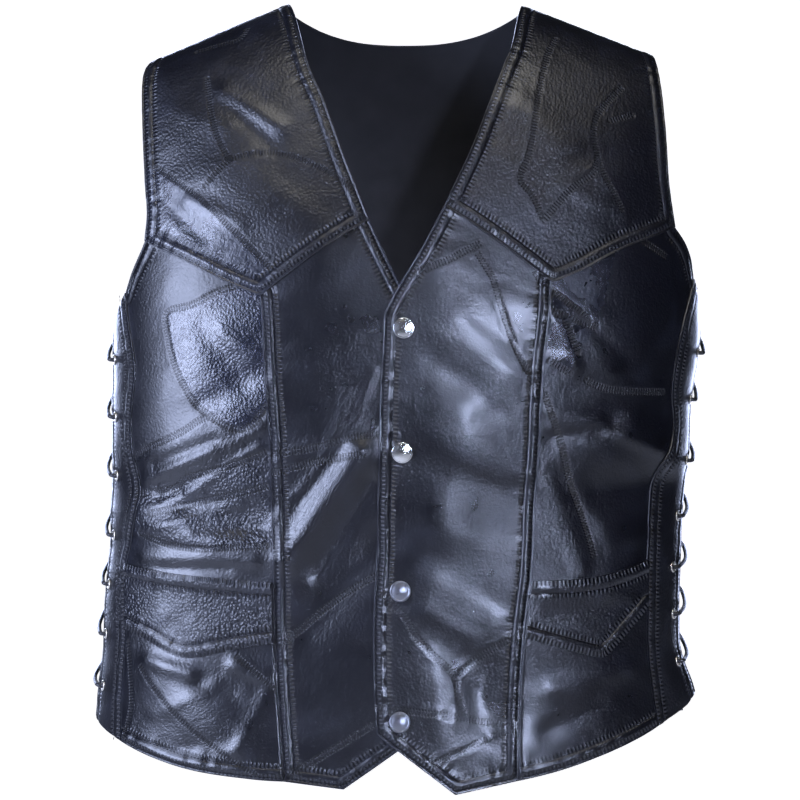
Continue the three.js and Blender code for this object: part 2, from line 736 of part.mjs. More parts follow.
/** A route whose every given point is one step of the swept tube. */
class RoutePath extends THREE.Curve {
  constructor(points) {
    super();
    this.points = points;
  }

  getPoint(t) {
    const place = t * (this.points.length - 1);
    const i = Math.min(Math.floor(place), this.points.length - 2);
    return this.points[i].clone().lerp(this.points[i + 1], place - i);
  }

  getPointAt(t) {
    return this.getPoint(t);
  }

  getTangentAt(t) {
    const step = 0.5 / (this.points.length - 1);
    return this.getPoint(Math.min(t + step, 1)).sub(this.getPoint(Math.max(t - step, 0))).normalize();
  }
}

/** The lace spirals up: out at a front eyelet, across the side, in at the back eyelet, and on inside. */
function laceRoute(cut, fronts, backs) {
  const off = (place, distance) => place.point.clone().addScaledVector(place.normal, distance);
  const leg = (from, to, end, bend, middle) => {
    const beside = (t, distance) => {
      const spot = mixSpots(from.spot, to.spot, t);
      return placed(spot, curled(cut, distance)(spot));
    };
    return [
      off(from, end),
      beside(LACE.bend, bend),
      beside(LACE.span, middle),
      beside(1 - LACE.span, middle),
      beside(1 - LACE.bend, bend),
      off(to, end),
    ];
  };
  const points = [off(fronts[0], -LACE.end)];
  fronts.forEach((front, k) => {
    points.push(...leg(front, backs[k], LACE.outEnd, LACE.outBend, LACE.outMiddle));
    const next = fronts[k + 1];
    if (next) points.push(...leg(backs[k], next, -LACE.inEnd, -LACE.inBend, -LACE.inMiddle));
  });
  points.push(off(backs.at(-1), -LACE.end));
  return points;
}

function addLace(cut, fronts, backs) {
  const { radius, sides, knot } = LACE;
  const route = laceRoute(cut, fronts, backs);
  const section = new THREE.Shape();
  for (let i = 0; i < sides; i += 1) {
    const turn = (i / sides) * 2 * Math.PI;
    const move = i === 0 ? 'moveTo' : 'lineTo';
    section[move](radius * Math.cos(turn), radius * Math.sin(turn));
  }
  const extrudePath = new RoutePath(route);
  const options = { steps: route.length - 1, extrudePath, bevelEnabled: false };
  const geometry = new THREE.ExtrudeGeometry(section, options);
  addNode(`lace_${cut.name}`, geometry, leather(SOFT_BLACK));
  [route[0], route.at(-1)].forEach((end, k) => {
    const place = k === 0 ? fronts[0] : backs.at(-1);
    const ball = new THREE.SphereGeometry(knot, 8, 6);
    const mesh = addNode(`lace_knot_${cut.name}_${k + 1}`, ball, leather(SOFT_BLACK));
    mesh.position.copy(end).addScaledVector(place.normal, -(knot + SEAM_GAP));
  });
}

// Assembly

for (const cut of [RIGHT, LEFT]) {
  const lines = frontLines(cut);
  addCentreFront(cut, lines);
  addSideFront(cut, lines);
  addYoke(cut, lines);

  const frontSeam = joinLines(...lines.seam);
  const frontEdge = (z) => tableAt(cut.edge, z);
  const frontGrid = stripGrid(cut.sign, frontSeam, cut.stripFoot, cut.stripTop, frontEdge, -1);
  const seamSide = cut.sign > 0 ? 'left' : 'right';
  const fronts = addStrip('front', cut, pullIn(frontGrid, [seamSide]), cut.eyelets);

  const backSeam = backSeamLine(cut.sign);
  const backEdge = () => BACK.stripEdge;
  const backGrid = stripGrid(cut.sign, backSeam, BACK.stripFoot, BACK.stripTop, backEdge, 1);
  const farSide = cut.sign > 0 ? 'right' : 'left';
  const backHeights = cut.eyelets.map((z) => z + LACE_RISE);
  const backs = addStrip('back', cut, pullIn(backGrid, [farSide]), backHeights);
  addLace(cut, fronts, backs);
}
addBack();
addSnaps();

export default vest;
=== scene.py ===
# %% [markdown]
# # A laced leather vest
#
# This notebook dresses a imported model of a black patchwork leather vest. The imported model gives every
# piece its place and its plain form. Here each leather piece becomes a thin shell with creases, rolled
# edges, rows of stitches and a grain of its own.

from functools import partial
import math

import bpy
from mathutils import Matrix
import numpy as np


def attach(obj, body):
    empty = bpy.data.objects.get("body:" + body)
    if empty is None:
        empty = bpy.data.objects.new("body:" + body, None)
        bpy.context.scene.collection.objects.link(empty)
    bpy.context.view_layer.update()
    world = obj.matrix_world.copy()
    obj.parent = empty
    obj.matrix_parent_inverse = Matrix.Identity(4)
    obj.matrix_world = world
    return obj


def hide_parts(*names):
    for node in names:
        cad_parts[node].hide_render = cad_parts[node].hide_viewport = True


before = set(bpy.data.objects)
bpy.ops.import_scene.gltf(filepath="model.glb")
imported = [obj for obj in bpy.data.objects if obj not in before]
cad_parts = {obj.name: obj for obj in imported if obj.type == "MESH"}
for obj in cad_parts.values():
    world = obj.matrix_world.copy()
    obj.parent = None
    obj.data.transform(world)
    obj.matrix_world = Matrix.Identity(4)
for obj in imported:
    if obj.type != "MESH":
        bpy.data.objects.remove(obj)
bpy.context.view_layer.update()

# %% [markdown]
# ## Camera
#
# The photograph was taken from straight in front with a long lens, so the two sides of the vest show
# about equally and hardly any perspective is seen. A 150 mm lens 2.6 m away gives the same view. The
# camera points along +Y and stands at half the height of the vest.

# %% Camera
CAMERA_DISTANCE = 2.6
CAMERA_HEIGHT = -0.283

lens = bpy.data.cameras.new("camera")
lens.lens = 150
lens.sensor_width = 36
camera = bpy.data.objects.new("camera", lens)
camera.location = (0, -CAMERA_DISTANCE, CAMERA_HEIGHT)
camera.rotation_euler = (math.pi / 2, 0, 0)
bpy.context.scene.collection.objects.link(camera)
bpy.context.scene.camera = camera
print("width seen at the vest:", round(CAMERA_DISTANCE * lens.sensor_width / lens.lens, 3), "m")

# %% [markdown]
# ## Form of the filled-out body
#
# All the leather lies on one form, the body that the vest is made for. It could be sculpted, but then the
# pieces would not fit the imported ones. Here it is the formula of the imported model, in the same
# millimetres. A spot on it has two numbers: its angle round the body and its rise. Below the chest the
# rise is a height, and above it a length along the arch over the shoulders.

# %% Sections of the body
MM = 0.001
LEATHER = 1.2
LAPPED = 2.4
SEAM_GAP = 0.3
SECTION_POWER = 2.4
CHEST = -300.0
ARCH = 340.0
QUARTER_ARCH = math.pi / 2 * ARCH
SHOULDER_SEAM = 40.0
SIDE_X = 200.0
RIDGE = dict(peak=43, round=60, drop_right=0.453, drop_left=0.412)

SECTIONS = np.array([  # height, half width, shift to the wearer's left, depth in front, depth behind
    (-580, 229.5, -4.5, 114, 108),
    (-460, 222.5, -6.0, 109, 98),
    (-380, 220.5, -2.5, 107, 92),
    (-300, 222.5, 0.5, 112, 98),
    (-220, 226.0, 5.0, 114, 106),
    (0, 226.0, 4.0, 112, 102),
], float)


def smooth(x, low, high):
    """Smooth step: 3 t^2 - 2 t^3, where t runs from 0 at low to 1 at high."""
    t = np.clip((x - low) / (high - low), 0, 1)
    return t * t * (3 - 2 * t)


def section_at(z):
    """Half width, shift and the two depths at heights z: smooth steps between the rows of the table."""
    z = np.clip(z, SECTIONS[0, 0], SECTIONS[-1, 0])
    row = np.clip(np.searchsorted(SECTIONS[:, 0], z) - 1, 0, len(SECTIONS) - 2)
    low, high = SECTIONS[row], SECTIONS[row + 1]
    t = smooth(z, low[..., 0], high[..., 0])[..., None]
    return np.moveaxis((low + (high - low) * t)[..., 1:], -1, 0)


def ridge_at(x):
    """Height of the top of the shoulders: a peak less a hyperbola in x, steeper on the wearer's right."""
    drop = np.where(x < 0, RIDGE["drop_right"], RIDGE["drop_left"])
    return RIDGE["peak"] - drop * (np.hypot(x, RIDGE["round"]) - RIDGE["round"])


def rim(share):
    """Depth of the section at a share of its half width: (1 - |share|^p)^(1/p)."""
    return np.maximum(1 - np.abs(share) ** SECTION_POWER, 0) ** (1 / SECTION_POWER)


def chest_height(rise):
    """Height whose section holds at a rise."""
    beta = np.maximum(rise, 0) / ARCH
    return np.where(rise < 0, CHEST + rise, CHEST * (1 - np.sin(beta)))


def body(spots):
    """Points of the body at spots (angle, rise): a flat section, whose depth shrinks as the arch closes."""
    angle, rise = np.radians(spots[..., 0]), spots[..., 1]
    beta = np.maximum(rise, 0) / ARCH
    half, shift, front, back = section_at(chest_height(rise))
    facing = np.sign(np.cos(angle)) * rim(np.sin(angle)) * np.cos(beta)
    x = shift + half * np.sin(angle)
    y = -facing * np.where(facing >= 0, front, back)
    z = np.where(rise < 0, CHEST + rise, CHEST + (ridge_at(x) - CHEST) * np.sin(beta))
    return np.stack([x, y, z], -1)


def unit(vectors):
    """Vectors over their own lengths."""
    return vectors / np.linalg.norm(vectors, axis=-1, keepdims=True)


def run_along(points):
    """Length of a line of points from its start to each of them: the sum of its steps so far."""
    return np.concatenate([[0], np.cumsum(np.linalg.norm(np.diff(points, axis=0), axis=-1))])


def normals(spots):
    """Directions out of the body: the step round it crossed with the step up it."""
    across = body(spots + [0.5, 0]) - body(spots - [0.5, 0])
    up = body(spots + [0, 1]) - body(spots - [0, 1])
    return unit(np.cross(across, up))


# %% [markdown]
# ## Folds
#
# Filled-out leather keeps the creases of its wearer: long soft troughs from the armholes to the snaps and
# short ones over the pockets. A cloth simulation would put them anywhere, so they are placed one by one. Each
# is a bell across a line from one point to another, raised or sunk by its height.

# %% Folds of the front and the back
FRONT_FOLDS = np.array([  # from x, z to x, z, width, height
    (-26, -325, -86, -400, 17, 4.0),
    (-20, -395, -70, -455, 18, -3.0),
    (62, -285, 36, -380, 26, 3.0),
    (176, -305, 205, -328, 13, 3.5),
    (150, -352, 196, -346, 16, -3.0),
    (40, -455, 66, -520, 24, -2.5),
    (-200, -345, -120, -372, 16, -2.5),
    (-200, -372, -112, -395, 14, 2.5),
    (-178, -495, -120, -540, 20, 2.5),
    (-130, -120, -60, -170, 26, 2.0),
    (90, -60, 150, -120, 26, 2.0),
], float)
BACK_FOLDS = np.array([
    (-190, -300, -70, -345, 24, 3.0),
    (185, -320, 60, -352, 22, 3.0),
    (-175, -375, -95, -400, 20, -3.0),
    (170, -392, 82, -412, 22, -2.5),
    (-40, -180, -55, -300, 34, 2.5),
    (52, -150, 38, -290, 38, 2.5),
], float)


def bells(points, folds):
    """Sum over the folds of height times exp(-(distance / width)^2), distance from the line in x and z."""
    x1, z1, x2, z2, width, height = folds.T
    x, z = points[..., 0, None], points[..., 2, None]
    dx, dz = x2 - x1, z2 - z1
    along = np.clip(((x - x1) * dx + (z - z1) * dz) / (dx * dx + dz * dz), 0, 1)
    gap = np.hypot(x - x1 - along * dx, z - z1 - along * dz)
    return (height * np.exp(-((gap / width) ** 2))).sum(-1)


def placed(spots, out):
    """Points at a distance outside the body, with the large folds added to it."""
    points = body(spots)
    drape = np.where(points[..., 1] < 0, bells(points, FRONT_FOLDS), bells(points, BACK_FOLDS))
    return points + normals(spots) * (out + drape)[..., None]


# %% [markdown]
# ## Cut lines
#
# A maker cuts each piece along lines drawn on paper. The same lines are given here by a few points in
# millimetres, x across and z up, and a smooth curve runs through them. Between four such curves a piece
# is filled in evenly, as a sheet stretched in a frame would be.

# %% From x and z to spots on the body
def on_front(points):
    """Spots of the front at given x and z."""
    x, z = np.moveaxis(np.asarray(points, float), -1, 0)
    share = np.minimum((z - CHEST) / (ridge_at(x) - CHEST), 1)
    rise = np.where(z < CHEST, z - CHEST, np.arcsin(np.maximum(share, -1)) * ARCH)
    half, shift, _, _ = section_at(chest_height(rise))
    return np.stack([np.degrees(np.arcsin(np.clip((x - shift) / half, -1, 1))), rise], -1)


def on_back(points):
    """Spots of the back at given x and z."""
    return np.array([180, 0]) + on_front(points) * [-1, 1]


def side_spots(z, y, sign):
    """Spots at heights z, y behind the side line or in front of it where y is negative."""
    z, y = np.broadcast_arrays(np.asarray(z, float), np.asarray(y, float))
    rise = on_front(np.stack([np.full(z.shape, sign * SIDE_X), z], -1))[..., 1]
    _, _, front, back = section_at(chest_height(rise))
    depth = np.where(y < 0, front, back) * np.cos(np.maximum(rise, 0) / ARCH)
    angle = np.degrees(np.arcsin(rim(y / depth)))
    return np.stack([sign * np.where(y < 0, angle, 180 - angle), rise], -1)


# %% Smooth lines and stretched patches
def smooth_line(spots, cells):
    """Curve through the spots, cubic between each two with the slope of their neighbours, cut evenly."""
    scale = np.array([3.0, 1.0])
    knots = np.asarray(spots, float) * scale
    before = np.concatenate([knots[:1], knots[:-1]])
    after = np.concatenate([knots[1:], knots[-1:]])

    def at(t):
        place = t * (len(knots) - 1)
        i = np.minimum(place.astype(int), len(knots) - 1)
        j = np.minimum(i + 1, len(knots) - 1)
        w = (place - i)[:, None]
        slope0 = (knots[j] - before[i]) / 2
        slope1 = (after[j] - knots[i]) / 2
        cubic = 2 * knots[i] - 2 * knots[j] + slope0 + slope1
        square = -3 * knots[i] + 3 * knots[j] - 2 * slope0 - slope1
        return cubic * w ** 3 + square * w ** 2 + slope0 * w + knots[i]

    table = np.linspace(0, 1, 201)
    reach = run_along(at(table))
    even = np.interp(np.linspace(0, reach[-1], cells + 1), reach, table)
    return at(even) / scale


def join(*lines):
    """Lines end to end, without the points that they share."""
    return np.concatenate([lines[0]] + [one[1:] for one in lines[1:]])


def fill_patch(bottom, top, left, right, fade=1):
    """Grid between four lines: the blend of left and right, plus (1 - v) times how far the bottom is from a
    straight line between its ends and v to the power of fade times how far the top is from its own."""
    u = np.linspace(0, 1, len(bottom))[None, :, None]
    v = np.linspace(0, 1, len(left))[:, None, None]
    low = bottom[0] * (1 - u) + bottom[-1] * u
    high = top[0] * (1 - u) + top[-1] * u
    return left[:, None] * (1 - u) + right[:, None] * u + (bottom - low) * (1 - v) + (top - high) * v ** fade


# %% Cut of the two fronts and the back
RIGHT = dict(
    name="right", sign=-1,
    neck_front=[(18, -226), (8, -210), (0, -196), (-11, -174)],
    neck_corner=(-23, -148),
    neck_yoke=[(-41, -102), (-57, -57), (-73, -16)],
    neck_top=-87,
    yoke_point=(-104.5, -205),
    yoke_inner=[(-64, -174.5)],
    yoke_outer=[(-127, -195.5), (-165, -176.5)],
    yoke_arm=(-193.5, -162),
    arm_yoke=[(-192, -141), (-194, -117), (-196, -85), (-198, -53), (-198, -32)],
    arm_top=-192,
    arm_front=[(-198, -172), (-204, -185)],
    placket=[(20, -510), (21, -400), (20, -300)],
    placket_foot=(16, -533),
    tip=(-42, -573.5),
    princess=[(-87, -568), (-91.5, -513), (-94.4, -465), (-95, -420), (-95.3, -386), (-98.8, -297),
              (-102, -252)],
    hem=[(-113, -566.5), (-162, -560)],
    chevron=[(-124, -470), (-161.5, -477), (-191, -464)],
    mouth=[(-129, -417.5), (-171.5, -414)],
    seam=[(-211, -543), (-209.3, -500), (-206.5, -457), (-207.3, -408), (-203, -390), (-197, -356),
          (-203.5, -312), (-200.5, -262), (-205.5, -228), (-209, -201)],
    strip_foot=-527, strip_top=-234,
    edge=[(-540, 20), (-440, 15), (-320, 22), (-230, 12)],
    flare=4,
    eyelets=[-503, -463, -425, -387, -341, -296, -252],
)
LEFT = dict(
    name="left", sign=1,
    neck_front=[(-12, -218), (0, -196), (17, -168)],
    neck_corner=(33, -137.5),
    neck_yoke=[(51.5, -98.5), (64, -67), (78, -30), (87, -5)],
    neck_top=95,
    yoke_point=(114, -195),
    yoke_inner=[(64, -157.5)],
    yoke_outer=[(135, -186.5), (170, -168)],
    yoke_arm=(209, -151),
    arm_yoke=[(205, -120), (203.5, -95), (202.5, -70), (200, -37)],
    arm_top=195.5,
    arm_front=[(217.5, -163), (222.5, -176)],
    placket=[(-19.6, -500), (-18.2, -415), (-15.2, -297)],
    placket_foot=(-17.5, -533),
    tip=(41, -577.5),
    princess=[(89, -567.5), (90, -520), (93.5, -461), (98.8, -419), (101.3, -372), (106, -290), (110, -242)],
    hem=[(118, -561), (148, -551.5)],
    chevron=[(113, -467), (147, -476.5), (157, -473), (170, -459)],
    mouth=[(137, -417.5), (163, -412.5)],
    seam=[(194, -531.5), (187, -483), (186, -440), (186.2, -404), (188.3, -368), (194.3, -337),
          (207, -305), (206, -272), (213.5, -230), (225, -190)],
    strip_foot=-509, strip_top=-221,
    edge=[(-510, 22), (-411, 29), (-329, 15), (-230, 5)],
    flare=15,
    eyelets=[-484, -447, -411, -372, -329, -282, -246],
)
BACK = dict(
    hem_side=-532, hem_centre=-541, strip_foot=-527, strip_top=-228, strip_edge=18, strip_width=44,
    seam_top=-196, arm=[(191, -174), (192.5, -146), (192.5, -112), (193.5, -72), (196, -38)],
    neck_centre=-2, neck_round=2.6,
)
LACE_RISE = 20
EYELET_INSET = 14
EYELET_SHARE = 0.62
CURL = dict(top=-468, low=-515, reach=55)
CELLS = dict(neck=4, inner=5, outer=5, hem=4, flap=3, seam=9, arm=2, yoke=14,
             back_seam=14, back_arm=8, back_neck=8)
CHEVRON_ROW = 2
MOUTH_ROW = 3


# %% Grids of the leather pieces
def front_lines(cut, across, along):
    """The lines that the pieces of one front share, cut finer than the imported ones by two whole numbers."""
    def line(points, cells, fine):
        return smooth_line(on_front(points), cells * fine)

    princess, seam = cut["princess"], cut["seam"]
    high = CELLS["seam"] + CELLS["arm"]
    return dict(
        princess=[
            line(princess[:CHEVRON_ROW + 1], CELLS["hem"], along),
            line(princess[CHEVRON_ROW:MOUTH_ROW + 1], CELLS["flap"], along),
            line(princess[MOUTH_ROW:] + [cut["yoke_point"]], high, along),
        ],
        seam=[
            line(seam[:CHEVRON_ROW + 1], CELLS["hem"], along),
            line(seam[CHEVRON_ROW:MOUTH_ROW + 1], CELLS["flap"], along),
            line(seam[MOUTH_ROW:], CELLS["seam"], along),
        ],
        arm_front=line([seam[-1], *cut["arm_front"][::-1], cut["yoke_arm"]], CELLS["arm"], along),
        yoke_inner=line([cut["neck_corner"], *cut["yoke_inner"], cut["yoke_point"]], CELLS["inner"], across),
        yoke_outer=line([cut["yoke_point"], *cut["yoke_outer"], cut["yoke_arm"]], CELLS["outer"], across),
        neck_front=line([*cut["neck_front"], cut["neck_corner"]], CELLS["neck"], across),
        placket=line([cut["placket_foot"], *cut["placket"], cut["neck_front"][0]],
                     CELLS["hem"] + CELLS["flap"] + high, along),
        hem_point=join(
            line([cut["placket_foot"], cut["tip"]], CELLS["neck"], across),
            line([cut["tip"], princess[0]], CELLS["inner"], across),
        ),
        hem=line([princess[0], *cut["hem"], seam[0]], CELLS["outer"], across),
        chevron=line([princess[CHEVRON_ROW], *cut["chevron"], seam[CHEVRON_ROW]], CELLS["outer"], across),
        mouth=line([princess[MOUTH_ROW], *cut["mouth"], seam[MOUTH_ROW]], CELLS["outer"], across),
    )


def front_patch(cut, bottom, top, centre, outer):
    """Grid between lines that run from the centre to the side, turned so that the angle grows."""
    if cut["sign"] > 0:
        return fill_patch(bottom, top, centre, outer)
    return fill_patch(bottom[::-1], top[::-1], outer, centre)


def shoulder_line(cut, fine):
    """The shoulder seam, from the neck outwards, at one rise past the top of the arch."""
    rise = QUARTER_ARCH + SHOULDER_SEAM
    cells = (CELLS["inner"] + CELLS["outer"]) * fine
    half, shift, _, _ = section_at(chest_height(np.array(rise)))
    x = np.linspace(cut["neck_top"], cut["arm_top"], cells + 1)
    return np.stack([np.degrees(np.arcsin((x - shift) / half)), np.full(x.shape, rise)], -1)


def yoke_grid(cut, across, along):
    """Yoke: from its pointed lower edge up over the shoulder."""
    lines = front_lines(cut, across, along)
    seam = shoulder_line(cut, across)

    def over_top(points, x, last):
        spots = on_front(points)
        half, shift, _, _ = section_at(chest_height(np.array(QUARTER_ARCH)))
        top = [np.degrees(np.arcsin((x - shift) / half)), QUARTER_ARCH]
        return smooth_line([*spots, top, last], CELLS["yoke"] * along)

    neck = over_top([cut["neck_corner"], *cut["neck_yoke"]], cut["neck_top"], seam[0])
    arm = over_top([cut["yoke_arm"], *cut["arm_yoke"]], cut["arm_top"], seam[-1])
    return front_patch(cut, join(lines["yoke_inner"], lines["yoke_outer"]), seam, neck, arm)


def centre_grid(cut, across, along):
    """Centre front: from the pointed hem to the neck and the yoke."""
    lines = front_lines(cut, across, along)
    top = join(lines["neck_front"], lines["yoke_inner"])
    return front_patch(cut, lines["hem_point"], top, lines["placket"], join(*lines["princess"]))


def side_grids(cut, across, along):
    """Side front, in its three heights: below the flap, behind the flap and above the pocket."""
    lines = front_lines(cut, across, along)
    low = front_patch(cut, lines["hem"], lines["chevron"], lines["princess"][0], lines["seam"][0])
    middle = front_patch(cut, lines["chevron"], lines["mouth"], lines["princess"][1], lines["seam"][1])
    seam_high = join(lines["seam"][2], lines["arm_front"])
    high = front_patch(cut, lines["mouth"], lines["yoke_outer"], lines["princess"][2], seam_high)
    return low, middle, high


def back_seam_line(sign, fine):
    """The seam between the back and its strip."""
    z = np.linspace(BACK["hem_side"], BACK["seam_top"], CELLS["back_seam"] * fine + 1)
    return side_spots(z, BACK["strip_edge"] + BACK["strip_width"], sign)


def back_grid(across, along):
    """Back: one sheet from armhole to armhole, its angle growing from the wearer's left to the right."""
    def side(cut):
        seam = back_seam_line(cut["sign"], along)
        seam = seam + np.where(seam[:, :1] < 0, [[360, 0]], [[0, 0]])
        shoulder = shoulder_line(cut, across) * [-1, -1] + [180, 2 * QUARTER_ARCH]
        arm_spots = on_back([(cut["sign"] * x, z) for x, z in BACK["arm"]])
        arm = smooth_line([seam[-1], *arm_spots, shoulder[-1]], CELLS["back_arm"] * along)
        return seam, shoulder, join(seam, arm)

    left_seam, left_shoulder, left_border = side(LEFT)
    right_seam, right_shoulder, right_border = side(RIGHT)
    start, end = body(left_shoulder[0]), body(right_shoulder[0])
    u = np.linspace(0, 1, 401)
    bow = np.abs(2 * u - 1) ** BACK["neck_round"]
    corner = start[2] + (end[2] - start[2]) * u
    z = BACK["neck_centre"] + (corner - BACK["neck_centre"]) * bow
    line = on_back(np.stack([start[0] + (end[0] - start[0]) * u, z], -1))
    line[0], line[-1] = left_shoulder[0], right_shoulder[0]
    reach = run_along(body(line))
    even = np.linspace(0, reach[-1], CELLS["back_neck"] * across + 1)
    neck = np.stack([np.interp(even, reach, line[:, k]) for k in range(2)], -1)
    top = join(left_shoulder[::-1], neck, right_shoulder)
    u = np.linspace(0, 1, len(top))
    angle = left_seam[0, 0] + (right_seam[0, 0] - left_seam[0, 0]) * u
    z = BACK["hem_centre"] + (BACK["hem_side"] - BACK["hem_centre"]) * np.abs(2 * u - 1) ** 2
    bottom = np.stack([angle, z - CHEST], -1)
    return fill_patch(bottom, top, left_border, right_border, fade=3)


def strip_grid(sign, seam, foot, top, edge_y, facing, across):
    """Side strip: columns from its seam to its free edge, whose height runs evenly from foot to top."""
    z = body(seam)[:, 2]
    rear = foot + (top - foot) * (z - z[0]) / (z[-1] - z[0])
    eyelet_z = z + (rear - z) * EYELET_SHARE
    eyelet = side_spots(eyelet_z, facing * (edge_y(eyelet_z) + EYELET_INSET), sign)
    edge = side_spots(rear, facing * edge_y(rear), sign)
    t = np.linspace(0, 1, 2 * across + 1)[None, :, None]
    near = seam[:, None] + (eyelet - seam)[:, None] * t
    far = eyelet[:, None] + (edge - eyelet)[:, None] * t
    grid = np.concatenate([near, far[:, 1:]], 1)
    return grid if sign * facing < 0 else grid[:, ::-1]


def front_strip_grid(cut, across, along):
    """Front strip of one side."""
    z, y = np.array(cut["edge"], float).T
    edge_y = partial(np.interp, xp=z, fp=y)
    seam = join(*front_lines(cut, 1, along)["seam"])
    return strip_grid(cut["sign"], seam, cut["strip_foot"], cut["strip_top"], edge_y, -1, across)


def back_strip_grid(cut, across, along):
    """Back strip of one side."""
    def edge_y(height):
        return BACK["strip_edge"] + 0 * height

    seam = back_seam_line(cut["sign"], along)
    return strip_grid(cut["sign"], seam, BACK["strip_foot"], BACK["strip_top"], edge_y, 1, across)


def curled(cut, spots):
    """How far a front strip's lower corner curls out: flare times a smooth step times 1 - y / reach."""
    points = body(spots)
    down = smooth(-points[..., 2], -CURL["top"], -CURL["low"])
    near = np.where(points[..., 1] < 0, 1 - np.clip(-points[..., 1] / CURL["reach"], 0, 1), 0)
    return cut["flare"] * down * near


# %% [markdown]
# ## Laces
#
# A round leather lace closes each side. It spirals up through the eyelets: out at the front strip, across
# the gap, in at the back strip and on inside to the next. Its stop knots are inside. A curve object could
# carry it, but a tube made from rings lets the leather twist follow its length. The route is the packed
# one, point for point, smoothed between them.

# %% Places of the eyelets
def outward(cut, spots):
    """Directions out of a strip, its curl included, from steps round it and up it."""
    def at(turn, climb):
        near = spots + [turn, climb]
        return placed(near, curled(cut, near))
    return unit(np.cross(at(0.4, 0) - at(-0.4, 0), at(0, 2) - at(0, -2)))


def eyelet_places(cut, grid, heights, ring):
    """Spots, points and directions of the eyelets: the grid's eyelet column cut at the given heights."""
    column = grid[:, ring]
    points = placed(column, curled(cut, column))
    t = np.interp(heights, points[:, 2], np.arange(len(column)))
    i = np.minimum(t.astype(int), len(column) - 2)
    share = (t - i)[:, None]
    spots = column[i] * (1 - share) + column[i + 1] * share
    return spots, points[i] * (1 - share) + points[i + 1] * share, outward(cut, spots)


def side_places(cut):
    """Eyelets of the front strip and of the back strip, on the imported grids."""
    heights = np.array(cut["eyelets"], float)
    front = eyelet_places(cut, front_strip_grid(cut, 1, 1), heights, 2)
    back = eyelet_places(cut, back_strip_grid(cut, 1, 1), heights + LACE_RISE, 2)
    return front, back


eyelets = {cut["name"]: side_places(cut) for cut in (RIGHT, LEFT)}
print("eyelets a strip:", len(eyelets["right"][0][0]))

# %% Route of a lace
LACE = dict(radius=1.6, end=5.4, out_end=5.2, out_bend=6.2, out_middle=5.2,
            in_end=4.6, in_bend=5.6, in_middle=4.8)
LACE_SHARES = np.array([0.08, 0.32, 0.68, 0.92])


def lace_legs(cut, start, stop, end, bend, middle):
    """Six points a crossing: one over each eyelet, and four between them at distances from the body."""
    spots = start[0][:, None] + (stop[0] - start[0])[:, None] * LACE_SHARES[None, :, None]
    between = placed(spots, curled(cut, spots) + np.array([bend, middle, middle, bend]))
    first = start[1] + start[2] * end
    last = stop[1] + stop[2] * end
    return np.concatenate([first[:, None], between, last[:, None]], 1)


def lace_route(cut):
    """Outer and inner crossings in turn, with a point inside the strip at both ends."""
    front, back = eyelets[cut["name"]]
    outer = lace_legs(cut, front, back, LACE["out_end"], LACE["out_bend"], LACE["out_middle"])
    starts = tuple(part[:-1] for part in back)
    stops = tuple(part[1:] for part in front)
    inner = lace_legs(cut, starts, stops, -LACE["in_end"], -LACE["in_bend"], -LACE["in_middle"])
    turns = np.concatenate([outer[:-1], inner], 1).reshape(-1, 3)
    ends = [front[1][:1] - front[2][:1] * LACE["end"], back[1][-1:] - back[2][-1:] * LACE["end"]]
    return np.concatenate([ends[0], turns, outer[-1], ends[1]])


def rounded(route, steps):
    """Smooth path through the route's points: a cubic between each two with the slope of their neighbours."""
    before = np.concatenate([route[:1], route[:-1]])
    after = np.concatenate([route[1:], route[-1:]])
    follow = np.concatenate([after[1:], after[-1:]])
    w = np.arange(steps)[None, :, None] / steps
    a, b = route[:-1, None], after[:-1, None]
    slope0 = (b - before[:-1, None]) / 2
    slope1 = (follow[:-1, None] - a) / 2
    cubic = 2 * a - 2 * b + slope0 + slope1
    square = 3 * b - 3 * a - 2 * slope0 - slope1
    path = cubic * w ** 3 + square * w ** 2 + slope0 * w + a
    return np.concatenate([path.reshape(-1, 3), route[-1:]])


# %% Meshes from arrays
def new_mesh(name, points, faces, values=None):
    """A smooth mesh object from points in millimetres, faces as rows of indices, and point values."""
    mesh = bpy.data.meshes.new(name)
    mesh.vertices.add(len(points))
    mesh.vertices.foreach_set("co", (np.asarray(points) * MM).astype(np.float32).ravel())
    faces = np.asarray(faces, np.int32)
    mesh.loops.add(faces.size)
    mesh.loops.foreach_set("vertex_index", faces.ravel())
    mesh.polygons.add(len(faces))
    mesh.polygons.foreach_set("loop_start", np.arange(0, faces.size, faces.shape[1], dtype=np.int32))
    mesh.update(calc_edges=True)
    mesh.polygons.foreach_set("use_smooth", np.ones(len(faces), bool))
    for key, value in (values or {}).items():
        layer = mesh.attributes.new(key, "FLOAT", "POINT")
        layer.data.foreach_set("value", np.asarray(value, np.float32).ravel())
    piece = bpy.data.objects.new(name, mesh)
    bpy.context.scene.collection.objects.link(piece)
    return piece


def grid_faces(rows, columns, wrap=False):
    """Quads of a grid of points, row after row; wrap closes each row into a ring."""
    j, i = np.mgrid[0:rows - 1, 0:columns if wrap else columns - 1]
    k = (i + 1) % columns
    this_row, next_row = j * columns, (j + 1) * columns
    return np.stack([this_row + i, this_row + k, next_row + k, next_row + i], -1).reshape(-1, 4)


def carried(path):
    """Side and up directions along a path: one start direction turned with the path, step by step."""
    tangent = unit(np.gradient(path, axis=0))
    side = np.empty_like(path)
    side[0] = unit(np.cross(tangent[0], [0.3, 0.2, 0.9]))
    for i in range(1, len(path)):
        leftover = side[i - 1] - tangent[i] * (side[i - 1] @ tangent[i])
        side[i] = leftover / np.linalg.norm(leftover)
    return side, np.cross(tangent, side)


